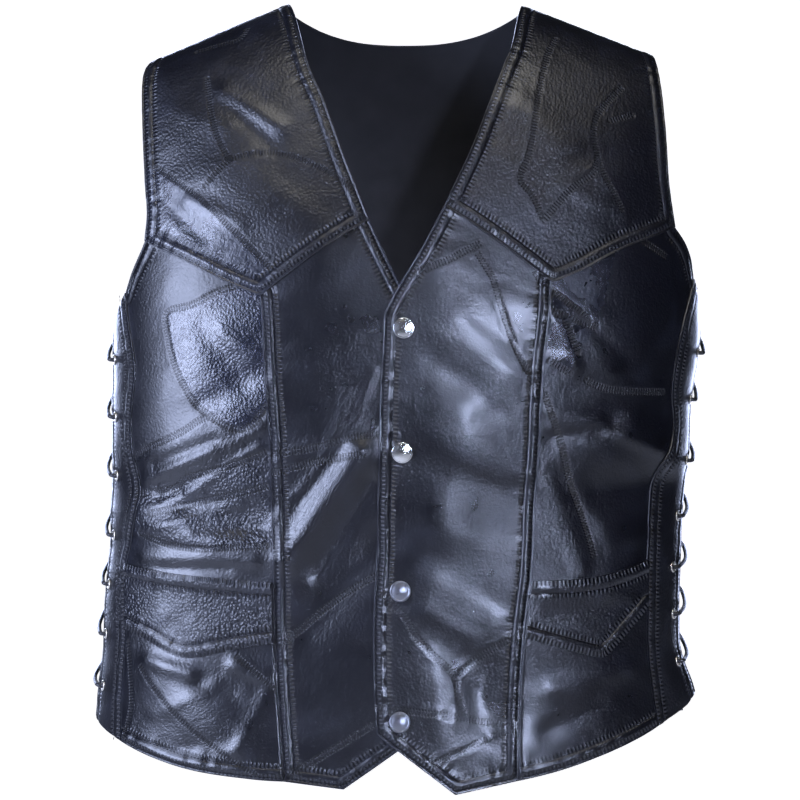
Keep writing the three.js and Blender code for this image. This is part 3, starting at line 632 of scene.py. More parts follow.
def tube(name, path, radius, sides):
    """Tube round a path, its two ends closed to a point."""
    side, up = carried(path)
    turn = np.linspace(0, 2 * math.pi, sides, endpoint=False)
    ring = side[:, None] * np.cos(turn)[None, :, None] + up[:, None] * np.sin(turn)[None, :, None]
    points = path[:, None] + ring * radius
    points = np.concatenate([path[None, :1].repeat(sides, 1), points, path[None, -1:].repeat(sides, 1)])
    run = run_along(path)
    run = np.concatenate([run[:1], run, run[-1:]])
    values = dict(lace_run=run[:, None].repeat(sides, 1), lace_turn=np.tile(turn, (len(points), 1)))
    return new_mesh(name, points.reshape(-1, 3), grid_faces(len(points), sides, wrap=True), values), run[-1]


# %% The two laces
laces = {}
for cut in (RIGHT, LEFT):
    path = rounded(lace_route(cut), 5)
    lace, length = tube(f"lace_{cut['name']}_leather", path, LACE["radius"], 12)
    laces[cut["name"]] = (lace, path, length)
    print(lace.name, "length", round(length), "mm")

# %% [markdown]
# ## Leather panels
#
# A cut piece of leather is a thin sheet. Where its edge is hemmed it is folded and sewn with two rows of
# stitches, so it is thicker there, swells between the rows and puckers beside them. It could be a plane
# with Solidify and a sculpt, but then a seam would not know where it is. Here each panel is one function:
# it takes spots on the body and gives the points of the outer face, from the distance to the sewn lines.
# The mesh and the stitches both ask this same function, so they always meet.

# %% Distance to sewn lines
ROWS = (2.3, 9.8)
FAR = 40.0


def distance_to(points, path):
    """Distance of points from a path and the run along it there: the least over its straight stretches."""
    gap = np.full(points.shape[:-1], FAR)
    run = np.zeros(points.shape[:-1])
    start_run = 0.0
    for start, step in zip(path[:-1], np.diff(path, axis=0)):
        length = max(math.sqrt(step @ step), 1e-6)
        offset = points - start
        along = np.clip(offset @ step / length ** 2, 0, 1)
        distance = np.linalg.norm(offset - along[..., None] * step, axis=-1)
        nearer = distance < gap
        gap = np.where(nearer, distance, gap)
        run = np.where(nearer, start_run + along * length, run)
        start_run += length
    return gap, run


def nearest(points, paths):
    """Distance and run of the nearest of several paths; each path's run starts 1000 mm further on."""
    gap = np.full(points.shape[:-1], FAR)
    run = np.zeros(points.shape[:-1])
    for k, path in enumerate(paths):
        one_gap, one_run = distance_to(points, path)
        run = np.where(one_gap < gap, one_run + 1000.0 * k, run)
        gap = np.minimum(gap, one_gap)
    return gap, run


def thinned(spots, step=5.0):
    """The points of a line of spots, one about every step millimetres."""
    points = placed(spots, np.full(len(spots), LEATHER))
    length = np.linalg.norm(np.diff(points, axis=0), axis=-1).sum()
    pick = np.linspace(0, len(spots) - 1, max(int(length / step), 2) + 1).round().astype(int)
    return points[np.unique(pick)]


# %% Creases and unevenness
FINE_FOLDS = np.array([  # small creases: x, z to x, z, width, height
    (-84, -402, -30, -322, 9, 3.0), (-62, -412, -22, -345, 8, -1.8), (-92, -372, -58, -332, 5, 0.9),
    (-78, -362, -44, -318, 4, -0.8), (-34, -300, -20, -262, 4, 0.7), (-56, -322, -38, -280, 4, 0.6),
    (-92, -330, -66, -314, 4, 0.8),
    (-192, -344, -104, -304, 5, 1.4), (-182, -356, -122, -330, 4, -1.1), (-160, -352, -106, -318, 4, 1.1),
    (-186, -332, -140, -314, 5, -0.9), (-134, -318, -104, -296, 4, -0.8), (-196, -366, -150, -352, 4, 0.9),
    (-168, -372, -120, -362, 4, 0.8), (-150, -382, -104, -378, 4, -0.9), (-190, -380, -160, -374, 4, 0.8),
    (-194, -402, -110, -404, 5, 1.0), (-180, -411, -130, -409, 4, -0.8),
    (-150, -228, -118, -272, 9, -1.0), (-134, -232, -110, -250, 7, 0.8), (-148, -286, -104, -262, 8, -0.9),
    (-190, -480, -158, -489, 6, 1.7), (-150, -497, -126, -503, 6, -0.9), (-124, -482, -98, -492, 6, 1.7),
    (-186, -520, -140, -498, 6, 0.8), (-122, -545, -98, -500, 6, 0.9), (-178, -548, -128, -536, 7, -0.8),
    (26, -250, 70, -290, 11, -1.0), (44, -222, 84, -262, 12, 0.6), (22, -306, 78, -340, 14, 0.8),
    (34, -336, 92, -352, 13, -1.0), (26, -368, 84, -396, 16, 0.9), (30, -402, 76, -436, 14, -0.8),
    (58, -300, 94, -322, 9, -0.6), (20, -440, 52, -462, 8, 0.8), (60, -500, 84, -452, 8, -0.8),
    (112, -212, 132, -262, 6, 1.1), (118, -252, 160, -262, 7, 1.1), (140, -226, 172, -252, 6, -0.8),
    (112, -290, 150, -300, 6, 1.0), (114, -312, 158, -304, 6, -1.1), (158, -306, 196, -321, 5, 1.3),
    (112, -350, 136, -410, 7, 1.0), (122, -340, 150, -398, 7, -1.1), (150, -392, 182, -384, 8, 0.9),
    (108, -432, 160, -428, 6, 0.9), (112, -446, 170, -440, 6, -0.8), (116, -500, 170, -486, 8, 0.9),
    (112, -530, 150, -512, 8, -0.9),
    (-134, -48, -92, -76, 7, 1.6), (-124, -62, -96, -92, 8, -0.9), (-172, -60, -132, -76, 9, 0.7),
    (-160, -132, -120, -150, 6, 0.9), (-182, -128, -150, -160, 6, -0.8),
    (-98, -120, -60, -150, 9, 0.6), (92, -60, 130, -90, 9, 0.7), (122, -122, 170, -142, 7, 0.8),
    (130, -100, 190, -96, 8, -0.7),
], float)


def waves(x, z, seed, size):
    """Uneven surface: the mean of twelve sine waves of random direction, with lengths near the size."""
    dice = np.random.default_rng(seed)
    total = np.zeros(np.shape(x))
    for turn, shift, stretch in dice.uniform([0, 0, 0.6], [math.pi, 2 * math.pi, 1.7], (12, 3)):
        total += np.sin((x * math.cos(turn) + z * math.sin(turn)) * 2 * math.pi / (size * stretch) + shift)
    return total / 12 * 2.4


def ripple(run, seed):
    """Puckers along a seam: waves of 6 to 15 mm in the run alone."""
    return waves(run, 0 * run + seed, seed, 9.0)


def bell(x, width):
    """exp(-(x / width)^2)."""
    return np.exp(-((x / width) ** 2))


SNAP_ROW = [(2.8, -229.5), (1.6, -322), (0.2, -426), (-0.2, -523.5)]
still_points = np.concatenate([
    placed(on_front(SNAP_ROW), np.zeros(4)),
    *[points for name in ("right", "left") for _, points, _ in eyelets[name]],
])


MIDDLE_ROUND = 30
BACK_SHIFT = 900
SLANT = 0.8
STRETCH = 0.35


def drape(points):
    """Small creases and soft unevenness of the whole vest, the same for every layer, none at the hardware:
    the creases plus waves of two sizes that slant outwards and down from the middle on both sides alike."""
    outwards = np.sqrt(points[..., 0] ** 2 + MIDDLE_ROUND ** 2) + np.where(points[..., 1] < 0, 0, BACK_SHIFT)
    across = SLANT * outwards + points[..., 2]
    along = (outwards - SLANT * points[..., 2]) * STRETCH
    soft = 0.4 * waves(across, along, 3, 54) + 0.1 * waves(across, along, 5, 24)
    calm = np.ones(points.shape[:-1])
    for still in still_points:
        calm = np.minimum(calm, 1 - bell(np.linalg.norm(points - still, axis=-1), 13))
    front = points[..., 1] < 0
    return (bells(points, FINE_FOLDS) * front + soft) * calm


# %% A panel's surface
class Panel:
    """One leather piece: where it lies, how thick it is and which of its lines are sewn."""

    def __init__(self, name, grid, base, thick, sewn=(), seams=(), lap=0.8, lift=None, seed=1):
        self.name, self.grid, self.base, self.thick, self.lap, self.seed = name, grid, base, thick, lap, seed
        self.lift = lift or (lambda spots: 0.0)
        self.borders = [np.asarray(line) for line in sewn]
        self.sewn = [thinned(line) for line in self.borders]
        self.seam_lines = [smooth_line(on_front(line), 4 * len(line)) for line in seams]
        self.seams = [thinned(line, 4.0) for line in self.seam_lines]
        sides = (grid[0], grid[:, -1], grid[-1], grid[:, 0])
        self.outline = [thinned(side) for side in sides]

    def gaps(self, points):
        """Distances from the sewn lines and from the patch seams, each with the run along them."""
        border_gap, border_run = nearest(points, self.sewn)
        patch_gap, patch_run = nearest(points, self.seams)
        return border_gap, border_run, patch_gap, patch_run

    def height(self, points, gaps):
        """Thickness with its relief: swell between the rows, a trough on each row, puckers, patch seams."""
        border_gap, border_run, patch_gap, patch_run = gaps
        band = 1 - smooth(border_gap, ROWS[1], ROWS[1] + 4)
        swell = self.lap * band * (0.55 + 0.45 * bell(border_gap - 5.6, 3.0))
        rows = 0.3 * bell(border_gap - ROWS[0], 1.2) + 0.45 * bell(border_gap - ROWS[1], 1.5)
        pucker = 0.3 * ripple(border_run, self.seed) * bell(border_gap - 8, 8)
        patch = 0.1 * bell(patch_gap - 3.6, 2.2) - 0.16 * bell(patch_gap, 1.6)
        patch += 0.14 * ripple(patch_run, self.seed + 7) * bell(patch_gap, 6)
        return self.thick + swell - rows + pucker + patch

    def surface(self, spots, roll=None):
        """Points of the outer face at the spots."""
        flat = placed(spots, np.full(spots.shape[:-1], self.base + self.thick))
        gaps = self.gaps(flat)
        height = self.height(flat, gaps)
        if roll is not None:
            height = height * roll
        out = self.base + self.lift(spots) + drape(flat) + height
        return placed(spots, out), gaps


def closer_at_edges(grid):
    """Grid with three more rows and columns at each edge, where the leather rolls over."""
    near = np.array([0, 0.12, 0.3, 0.6])

    def cut(values):
        last = len(values) - 1
        t = np.concatenate([near, np.arange(1, last), last - near[::-1]])
        i = np.minimum(t.astype(int), last - 1)
        w = (t - i)[:, None, None]
        return values[i] * (1 - w) + values[i + 1] * w

    return cut(cut(grid).swapaxes(0, 1)).swapaxes(0, 1)


def shell(panel, values):
    """Closed thin shell: outer face, inner face and the rim between them, the outer edge a quarter circle."""
    grid = closer_at_edges(panel.grid)
    rows, columns = grid.shape[:2]
    flat = placed(grid, np.full((rows, columns), panel.base))
    outline_gap, _ = nearest(flat, panel.outline)
    share = np.clip(outline_gap / 1.5, 0, 1)
    roll = 0.3 + 0.7 * np.sqrt(1 - (1 - share) ** 2)
    outer, gaps = panel.surface(grid, roll)
    inner = placed(grid, panel.base + panel.lift(grid) + drape(flat))
    keys = ("border_gap", "border_run", "patch_gap", "patch_run")
    extra = dict(zip(keys, gaps))
    extra.update(values(outer))
    count = rows * columns
    faces = grid_faces(rows, columns)
    edge = np.concatenate([
        np.arange(columns - 1),
        np.arange(rows - 1) * columns + columns - 1,
        count - 1 - np.arange(columns - 1),
        (rows - 1 - np.arange(rows - 1)) * columns,
    ])
    after = np.roll(edge, -1)
    rim_faces = np.stack([edge, edge + count, after + count, after], -1)
    every = np.concatenate([faces, faces[:, ::-1] + count, rim_faces])
    both = {key: np.concatenate([value.ravel(), value.ravel()]) for key, value in extra.items()}
    points = np.concatenate([outer.reshape(-1, 3), inner.reshape(-1, 3)])
    piece = new_mesh(panel.name + "_leather", points, every, both)
    inside = np.zeros(len(every), np.int32)
    inside[len(faces):2 * len(faces)] = 1
    piece.data.polygons.foreach_set("material_index", inside)
    across = np.linalg.norm(np.diff(outer, axis=1), axis=-1).sum(1).max() * MM
    along = np.linalg.norm(np.diff(outer, axis=0), axis=-1).sum(0).max() * MM
    cells = np.cross(outer[1:, 1:] - outer[:-1, :-1], outer[1:, :-1] - outer[:-1, 1:])
    area = 0.5 * np.linalg.norm(cells, axis=-1).sum() * MM ** 2
    piece["cut"] = (float(across), float(along), float(area))
    print(f"{panel.name} cut {across:.3f} x {along:.3f} m, area {area:.4f}, faces {len(every)}")
    return piece


# %% [markdown]
# ## Seams of the patchwork
#
# The panels are sewn together from odd pieces of leather first, and then cut. The patch seams are flat
# zigzag seams and follow no rule, so each is drawn in millimetres of x and z.

# %% Patch seams of the fronts
PATCH_SEAMS = dict(
    yoke_right=[
        [(-128, -102), (-113, -98), (-96, -97), (-78, -101), (-60, -109), (-44, -119), (-35, -124)],
        [(-128, -102), (-137, -85), (-143, -65), (-147, -38)],
        [(-128, -102), (-146, -121)],
        [(-184, -106), (-166, -119), (-153, -128), (-141, -139), (-126, -154), (-109, -171), (-97, -184)],
        [(-156, -16), (-137, -11), (-122, -7), (-117, 2)],
    ],
    yoke_left=[
        [(119, -7), (113, -19), (106, -46), (101, -76), (97, -98), (90, -117), (99, -129), (106, -145)],
        [(170, -44), (156, -58), (148, -70), (146, -85), (149, -100), (144, -113), (129, -124), (108, -148)],
        [(149, -100), (152, -112), (161, -128), (167, -140)],
        [(159, -71), (177, -66)],
    ],
    front_center_right=[
        [(-96, -323), (-72, -320), (-54, -316), (-35, -311), (-12, -308)],
        [(-94, -337), (-62, -329), (-25, -322)],
        [(-94, -468), (-76, -456), (-55, -438), (-35, -424), (-10, -410)],
        [(-88, -563), (-70, -556), (-47, -542), (-16, -523)],
    ],
    front_center_left=[
        [(12, -188), (35, -179), (50, -171), (61, -165)],
        [(58, -173), (66, -186), (70, -193), (76, -214), (82, -232), (89, -249), (97, -264), (103, -276)],
        [(-14, -426), (4, -446), (11, -459), (24, -473), (34, -482), (42, -489), (52, -481), (70, -469),
         (93, -458)],
        [(42, -489), (44, -506), (49, -518)],
        [(-16, -513), (19, -517), (44, -520), (66, -524), (86, -528)],
        [(87, -528), (61, -538), (44, -546), (20, -556)],
    ],
    front_side_right=[
        [(-112, -196), (-120, -197), (-138, -202), (-156, -211), (-176, -217), (-175, -235), (-170, -255),
         (-162, -273), (-153, -287), (-142, -295), (-129, -303), (-118, -305), (-109, -300), (-100, -288)],
        [(-142, -295), (-150, -298), (-164, -307), (-181, -315), (-201, -325)],
        [(-201, -355), (-172, -350), (-162, -342), (-129, -333), (-99, -322)],
        [(-188, -369), (-167, -364), (-144, -358), (-120, -353), (-98, -347)],
        [(-196, -384), (-175, -392), (-150, -395), (-129, -394), (-99, -392)],
    ],
    front_side_left=[
        [(112, -199), (141, -222)],
        [(112, -216), (148, -229)],
        [(123, -222), (133, -247)],
        [(112, -254), (128, -263)],
        [(140, -268), (148, -272), (165, -276), (199, -277)],
        [(108, -278), (120, -313), (128, -345), (138, -373), (146, -402)],
        [(183, -162), (202, -174)],
    ],
    pocket_right=[
        [(-205, -467), (-202, -511), (-208, -540)],
        [(-195, -484), (-172, -515), (-140, -542), (-105, -564)],
        [(-123, -474), (-94, -498)],
    ],
    pocket_flap_right=[[(-199, -424), (-174, -430), (-145, -436), (-131, -425)]],
)


def inside(points, outline):
    """Whether points lie within an outline in x and z: an odd number of its edges cross above each."""
    x, z = points[..., 0], points[..., 2]
    count = np.zeros(x.shape, int)
    for (x1, z1), (x2, z2) in zip(outline, outline[1:] + outline[:1]):
        crosses = (x1 > x) != (x2 > x)
        height = z1 + (x - x1) * (z2 - z1) / (x2 - x1 + 1e-9)
        count += crosses & (height > z)
    return count % 2 == 1


# %% Patches with a grain or a tone of their own; a light tone also paints a sheen into the colour
# The tone column is partly the patch's own tone and partly a painted sheen: a light tone lightens the base
# colour as a highlight would.
PATCHES = dict(
    front_side_right=[  # outline, grain, tone
        ([(-240, -150), (-112, -150), (-112, -196), (-156, -211), (-176, -217), (-170, -255), (-153, -287),
          (-142, -295), (-201, -325), (-240, -325)], 0.12, -1.0),
        (PATCH_SEAMS["front_side_right"][0] + [(-96, -250), (-98, -210)], 0.5, 1.2),
        ([(-205, -355), (-162, -342), (-96, -322), (-96, -392), (-150, -395), (-205, -384)], 0.7, 0.3),
    ],
    front_center_left=[
        ([(-30, -426), (4, -446), (24, -473), (42, -489), (44, -520), (-30, -513)], 0.45, 0.0),
        ([(42, -489), (70, -469), (100, -458), (100, -530), (44, -520)], 0.6, 0.0),
        ([(-30, -513), (44, -520), (100, -530), (100, -600), (-30, -600)], 0.4, 0.0),
    ],
    front_side_left=[
        ([(100, -150), (165, -165), (148, -229), (133, -247), (128, -263), (100, -254)], 0.15, 0.6),
    ],
    yoke_right=[
        ([(-210, -180), (-210, -110), (-184, -106), (-153, -128), (-126, -154), (-97, -184),
          (-100, -215)], -0.5, 0.9),
        ([(-210, -104), (-184, -106), (-146, -121), (-128, -102), (-113, -98), (-78, -101), (-35, -124),
          (-20, -80), (-80, 40), (-210, 40)], 0.0, -0.3),
    ],
    yoke_left=[
        ([(33, -130), (20, -150), (114, -205), (108, -148), (99, -129), (90, -117), (60, -80),
          (50, -100)], -0.1, 0.3),
    ],
    pocket_flap_right=[([(-220, -500), (-220, -400), (-80, -400), (-80, -500)], 0.9, 0.2)],
)


CREASED = dict(  # ellipses: x, z, half width, half height, turn in degrees, amount
    crumple=[
        (-140, -374, 62, 17, -4, 1.0), (-150, -330, 55, 22, 22, 0.5), (-150, -160, 45, 16, -30, 0.7),
        (130, -245, 30, 40, 0, 0.8), (125, -375, 20, 40, 15, 0.9), (-60, -400, 34, 30, 0, 0.4),
        (70, -190, 40, 16, 30, 0.5), (140, -460, 45, 30, 0, 0.4), (-150, -450, 60, 14, 0, 0.5),
    ],
    steep=[
        (-38, -290, 26, 40, 0, 1.0), (-58, -350, 34, 45, -30, 0.9), (-150, -322, 50, 26, 20, 0.6),
        (-40, -520, 40, 40, 0, 0.4), (-150, -150, 50, 30, 0, 0.4), (150, -520, 40, 30, 0, 0.3),
    ],
    shallow=[
        (-150, -405, 60, 12, 0, 0.7), (60, -330, 50, 90, 0, 0.35), (150, -445, 50, 30, 0, 0.6),
        (150, -300, 50, 20, 0, 0.5), (-150, -520, 60, 40, 0, 0.4), (60, -480, 40, 50, 0, 0.4),
    ],
)


SAG = dict(height=12.0, middle=-450, reach=110, slope=0.11, round=50)


def sag_at(points):
    """Height of a swell at the belly of the wearer's left front, which only the shading shows: a bell above
    its middle, and below it a hyperbola that falls at an even slope to the hem."""
    above = points[..., 2] - SAG["middle"]
    crest = SAG["height"] + SAG["slope"] * SAG["round"]
    below = crest - SAG["slope"] * np.hypot(above, SAG["round"])
    sag = np.where(above > 0, SAG["height"] * bell(above, SAG["reach"]), below)
    return sag * smooth(points[..., 0], -120, 60)


def patch_values(name):
    """Grain, tone (partly a painted sheen), sag and kinds of creases at a panel's points."""
    def values(points):
        grain = np.zeros(points.shape[:-1])
        tone_and_painted_sheen = np.zeros(points.shape[:-1])
        for outline, roughness, light in PATCHES.get(name, ()):
            within = inside(points, outline)
            grain = np.where(within, roughness, grain)
            tone_and_painted_sheen = np.where(within, light, tone_and_painted_sheen)
        front = points[..., 1] < 0
        extra = dict(grain=grain, tone_and_painted_sheen=tone_and_painted_sheen, sag=sag_at(points) * front)
        for kind, ellipses in CREASED.items():
            total = np.full(grain.shape, 0.1)
            for x, z, wide, high, turn, amount in ellipses:
                c, k = math.cos(math.radians(turn)), math.sin(math.radians(turn))
                across, up = points[..., 0] - x, points[..., 2] - z
                away = np.hypot((across * c + up * k) / wide, (up * c - across * k) / high)
                total += amount * bell(away, 0.8) * front
            extra[kind] = total
        return extra
    return values


# %% The fronts
FRONT_LIFT = 2.3
LIFT_FADE = (24, 66)
GAPE = dict(height=2.0, reach=12.0, round=0.7)
CENTRE_FINE = (8, 11)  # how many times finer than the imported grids, across and along
SIDE_FINE = (12, 11)
BACK_FINE = (5, 8)


def placket_lift(spots):
    """How far the upper front stands off the lower one: FRONT_LIFT at the placket, none towards its side."""
    return FRONT_LIFT * (1 - smooth(body(spots)[..., 0], *LIFT_FADE))


def pocket_gape(mouth_path):
    """The pocket's mouth stands open a little: a bell of the distance to it, times a sine along it."""
    def lift(spots):
        gap, run = distance_to(body(spots), mouth_path)
        length = np.linalg.norm(np.diff(mouth_path, axis=0), axis=-1).sum()
        arch = np.sin(math.pi * np.clip(run / length, 0, 1)) ** GAPE["round"]
        return GAPE["height"] * bell(gap, GAPE["reach"]) * arch
    return lift


POCKET_BASE = LEATHER + SEAM_GAP
FLAP_BASE = POCKET_BASE + LEATHER + SEAM_GAP
panels = []
for cut in (RIGHT, LEFT):
    name, sign = cut["name"], cut["sign"]
    lines = front_lines(cut, *CENTRE_FINE)
    lift = placket_lift if sign > 0 else None
    sewn = [lines["placket"], lines["hem_point"], join(*lines["princess"]), lines["neck_front"]]
    key = f"front_center_{name}"
    seams = PATCH_SEAMS.get(key, ())
    panels.append(Panel(key, centre_grid(cut, *CENTRE_FINE), 0, LEATHER, sewn, seams, lift=lift, seed=11))

    low, middle, high = side_grids(cut, *SIDE_FINE)
    key = f"front_side_{name}"
    whole = np.concatenate([low, middle[1:], high[1:]])
    panels.append(Panel(key, whole, 0, LEATHER, [lines["arm_front"]], PATCH_SEAMS.get(key, ()), seed=21))

    mouth = body(middle[-1])
    gape = pocket_gape(mouth[::SIDE_FINE[0]])
    key = f"pocket_{name}"
    pocket, seams = np.concatenate([low, middle[1:]]), PATCH_SEAMS.get(key, ())
    panels.append(Panel(key, pocket, POCKET_BASE, LEATHER, [low[0]], seams, lift=gape, seed=31))
    key = f"pocket_flap_{name}"
    borders, seams = [middle[0], middle[-1]], PATCH_SEAMS.get(key, ())
    panels.append(Panel(key, middle, FLAP_BASE, LEATHER, borders, seams, 0.6, gape, 41))

    grid = yoke_grid(cut, *CENTRE_FINE)
    key = f"yoke_{name}"
    borders = [grid[0], grid[:, 0], grid[:, -1], grid[-1]]
    panels.append(Panel(key, grid, 0, LAPPED, borders, PATCH_SEAMS.get(key, ()), 0.4, seed=51))

    grid, key = front_strip_grid(cut, *SIDE_FINE), f"side_strip_front_{name}"
    borders, curl = [grid[:, 0], grid[:, -1]], partial(curled, cut)
    panels.append(Panel(key, grid, 0, LAPPED, borders, lap=0.3, lift=curl, seed=61))
    grid, key = back_strip_grid(cut, *SIDE_FINE), f"side_strip_back_{name}"
    panels.append(Panel(key, grid, 0, LAPPED, [grid[:, 0], grid[:, -1]], lap=0.3, seed=71))

# %% The back
grid = back_grid(*BACK_FINE)
edge = CELLS["back_seam"] * BACK_FINE[1]
borders = [grid[0], grid[-1], grid[edge:, 0], grid[edge:, -1]]
panels.append(Panel("back", grid, 0, LEATHER, borders, seed=81))
pieces = {panel.name: shell(panel, patch_values(panel.name)) for panel in panels}

# %% [markdown]
# ## Stitches
#
# Each sewn line has two rows of black thread. A stitch is only 2 mm long, so it could be left to a bump
# map, but real thread catches the light along the rows. All the stitches are one small grain, repeated
# along the rows by arrays and joined to one mesh.

# %% A stitch and its copies
PITCH = 3.1
ZIGZAG_PITCH = 2.2
ZIGZAG_LEAN = 0.35
STITCH = dict(length=2.3, width=0.75, height=0.55)
CROSS_STITCH = dict(length=3.2, width=0.38, height=0.2)
THREAD_RISE = 0.05
GRAIN_TURN = np.linspace(0, 2 * math.pi, 5, endpoint=False)


def stitch_shape():
    """A grain of rice: two rings of five points and a point at both ends, long along the first axis."""
    ring = np.stack([np.zeros(5), np.cos(GRAIN_TURN), np.sin(GRAIN_TURN)], -1)
    points = np.concatenate([[[-1, 0, 0]], ring + [-0.55, 0, 0], ring + [0.55, 0, 0], [[1, 0, 0]]])
    i = np.arange(5)
    k = (i + 1) % 5
    ends = [np.stack([0 * i, 1 + k, 1 + i], -1), np.stack([0 * i + 11, 6 + i, 6 + k], -1)]
    walls = [np.stack([1 + i, 1 + k, 6 + k], -1), np.stack([1 + i, 6 + k, 6 + i], -1)]
    return points, np.concatenate(ends + walls)


def copies(name, centres, along, out, length, width, height):
    """One mesh of a stitch at every centre, laid along its direction and flat on the leather."""
    shape, faces = stitch_shape()
    side = np.cross(out, along)
    size = shape * [length / 2, width / 2, height / 2]
    points = centres[:, None] + size[None, :, :1] * along[:, None]
    points = points + size[None, :, 1:2] * side[:, None] + size[None, :, 2:] * out[:, None]
    every = faces[None] + (np.arange(len(centres)) * len(shape))[:, None, None]
    return new_mesh(name, points.reshape(-1, 3), every.reshape(-1, 3))


def evenly(spots, pitch):
    """Spots a pitch apart along a line of spots, and the unit steps of the line there."""
    points = placed(spots, np.full(len(spots), LEATHER))
    reach = run_along(points)
    run = np.arange(pitch / 2, reach[-1], pitch)
    even = np.stack([np.interp(run, reach, spots[:, 0]), np.interp(run, reach, spots[:, 1])], -1)
    ahead = np.stack([np.interp(run + 0.5, reach, points[:, k]) for k in range(3)], -1)
    behind = np.stack([np.interp(run - 0.5, reach, points[:, k]) for k in range(3)], -1)
    return even, unit(ahead - behind)


def shifted(spots, direction, distance):
    """Spots moved over the body by a distance in millimetres, solved from the steps of angle and rise."""
    base = body(spots)
    turn = (body(spots + [0.25, 0]) - body(spots - [0.25, 0])) / 0.5
    climb = (body(spots + [0, 1]) - body(spots - [0, 1])) / 2
    step = direction * distance
    a, b, c = (turn * turn).sum(-1), (turn * climb).sum(-1), (climb * climb).sum(-1)
    p, q = (turn * step).sum(-1), (climb * step).sum(-1)
    det = a * c - b * b
    return spots + np.stack([(p * c - q * b) / det, (q * a - p * b) / det], -1)


def facing_of(panel, spots):
    """Points of a panel's face with their outward directions, from small steps on the same face."""
    here, gaps = panel.surface(spots)
    turn = panel.surface(spots + [0.3, 0])[0] - panel.surface(spots - [0.3, 0])[0]
    climb = panel.surface(spots + [0, 1])[0] - panel.surface(spots - [0, 1])[0]
    return here, unit(np.cross(turn, climb)), gaps


def stitched_rows(panel):
    """Both rows of every sewn border: centres, steps and outward directions of the stitches. A stitch is
    left out where another sewn line is nearer or where it would hang over the panel's edge."""
    middle = body(panel.grid[len(panel.grid) // 2, panel.grid.shape[1] // 2])
    found = []
    for line in panel.borders:
        for offset in ROWS:
            spots, step = evenly(line, PITCH)
            inward = np.cross(normals(spots), step)
            toward = ((middle - body(spots)) * inward).sum(-1)
            inward *= np.sign(np.median(toward)) or 1
            spots = shifted(spots, inward, offset)
            points, out, gaps = facing_of(panel, spots)
            flat = body(spots)
            clear, _ = nearest(flat + normals(spots) * LEATHER, panel.outline)
            keep = (gaps[0] > offset - 0.4) & (gaps[0] < offset + 1.2) & (clear > 1.4)
            along = unit(step - out * (step * out).sum(-1, keepdims=True))
            found.append((points[keep], along[keep], out[keep]))
    return [np.concatenate(part) for part in zip(*found)] if found else None


def zigzag_rows(panel):
    """Zigzag of the patch seams: each stitch crosses the seam, leaning left and right in turn."""
    found = []
    for line in panel.seam_lines:
        spots, step = evenly(line, ZIGZAG_PITCH)
        points, out, gaps = facing_of(panel, spots)
        clear, _ = nearest(body(spots) + normals(spots) * LEATHER, panel.outline)
        keep = (gaps[0] > 11) & (clear > 2.5)
        across = np.cross(out, step)
        lean = np.where(np.arange(len(spots)) % 2, ZIGZAG_LEAN, -ZIGZAG_LEAN)[:, None]
        along = unit(across + step * lean)
        found.append((points[keep], along[keep], out[keep]))
    return [np.concatenate(part) for part in zip(*found)] if found else None


rows = [part for part in map(stitched_rows, panels) if part]
points, along, out = (np.concatenate(part) for part in zip(*rows))
thread = copies("thread_rows", points + out * THREAD_RISE, along, out, **STITCH)
print("stitches in rows:", len(points))
zigzags = [part for part in map(zigzag_rows, panels) if part]
points, along, out = (np.concatenate(part) for part in zip(*zigzags))
zigzag = copies("thread_zigzag", points, along, out, **CROSS_STITCH)
print("zigzag stitches:", len(points))

# %% [markdown]
# ## Snaps and eyelets
#
# Caps, studs and eyelets are turned parts, so each is a profile carried round its own axis. The packed
# ones have few sides, and these take their places with rounded rims.

# %% Turned parts
def turned(name, profile, places, sides=32):
    """Profiles (radius, height) turned about the outward direction of each place, joined to one mesh."""
    radius, height = np.array(profile, float).T
    turn = np.linspace(0, 2 * math.pi, sides, endpoint=False)
    points, faces = [], []
    for k, (centre, out) in enumerate(places):
        side = unit(np.cross(out, [0.1, 0.2, 1]))
        up = np.cross(out, side)
        ring = side * np.cos(turn)[:, None] + up * np.sin(turn)[:, None]
        points.append((centre + radius[:, None, None] * ring + height[:, None, None] * out).reshape(-1, 3))
        faces.append(grid_faces(len(radius), sides, wrap=True) + k * len(radius) * sides)
    return new_mesh(name, np.concatenate(points), np.concatenate(faces))


def arc(centre, radius, start, stop, steps):
    """Points of an arc in a profile, from one angle in degrees to another."""
    angle = np.radians(np.linspace(start, stop, steps))
    return np.stack([centre[0] + radius * np.cos(angle), centre[1] + radius * np.sin(angle)], -1)


SNAP_CLEAR = 0.45
CAP_SEAT = FRONT_LIFT + LEATHER + SNAP_CLEAR
edge_arc = arc((7.0, 0.9), 0.9, -80, 60, 8)
crown = np.linspace(7.0, 0, 14)
round_dome = np.stack([crown, 1.5 + 1.1 * (1 - (crown / 7.2) ** 2)], -1)
plain_cap = np.concatenate([[(0, 0)], edge_arc, round_dome])
rim_arc = arc((7.1, 0.8), 0.8, -90, 90, 9)
inner_crown = np.linspace(6.2, 0, 12)
inner_dome = np.stack([inner_crown, 1.2 + 1.2 * (1 - (inner_crown / 6.4) ** 2)], -1)
rimmed_cap = np.concatenate([[(0, 0)], rim_arc, [(6.6, 1.45), (6.35, 1.25)], inner_dome])
stud_arc = arc((4.6, -0.9), 0.4, -90, 0, 4) + [0.5, 0]
stud_profile = np.concatenate([[(0, -1.3), (4.4, -1.3)], stud_arc, [(5.5, 0), (0, 0)]])
snap_spots = on_front(SNAP_ROW)
snap_out = normals(snap_spots)
snap_places = placed(snap_spots, np.full(4, CAP_SEAT))
stud_places = placed(snap_spots, np.full(4, -SNAP_CLEAR))
caps = [
    turned(f"snap_{k + 1}_cap", plain_cap if k < 2 else rimmed_cap, [(snap_places[k], snap_out[k])], 48)
    for k in range(4)
]
studs = [turned(f"snap_{k + 1}_stud", stud_profile, [(stud_places[k], snap_out[k])]) for k in range(4)]

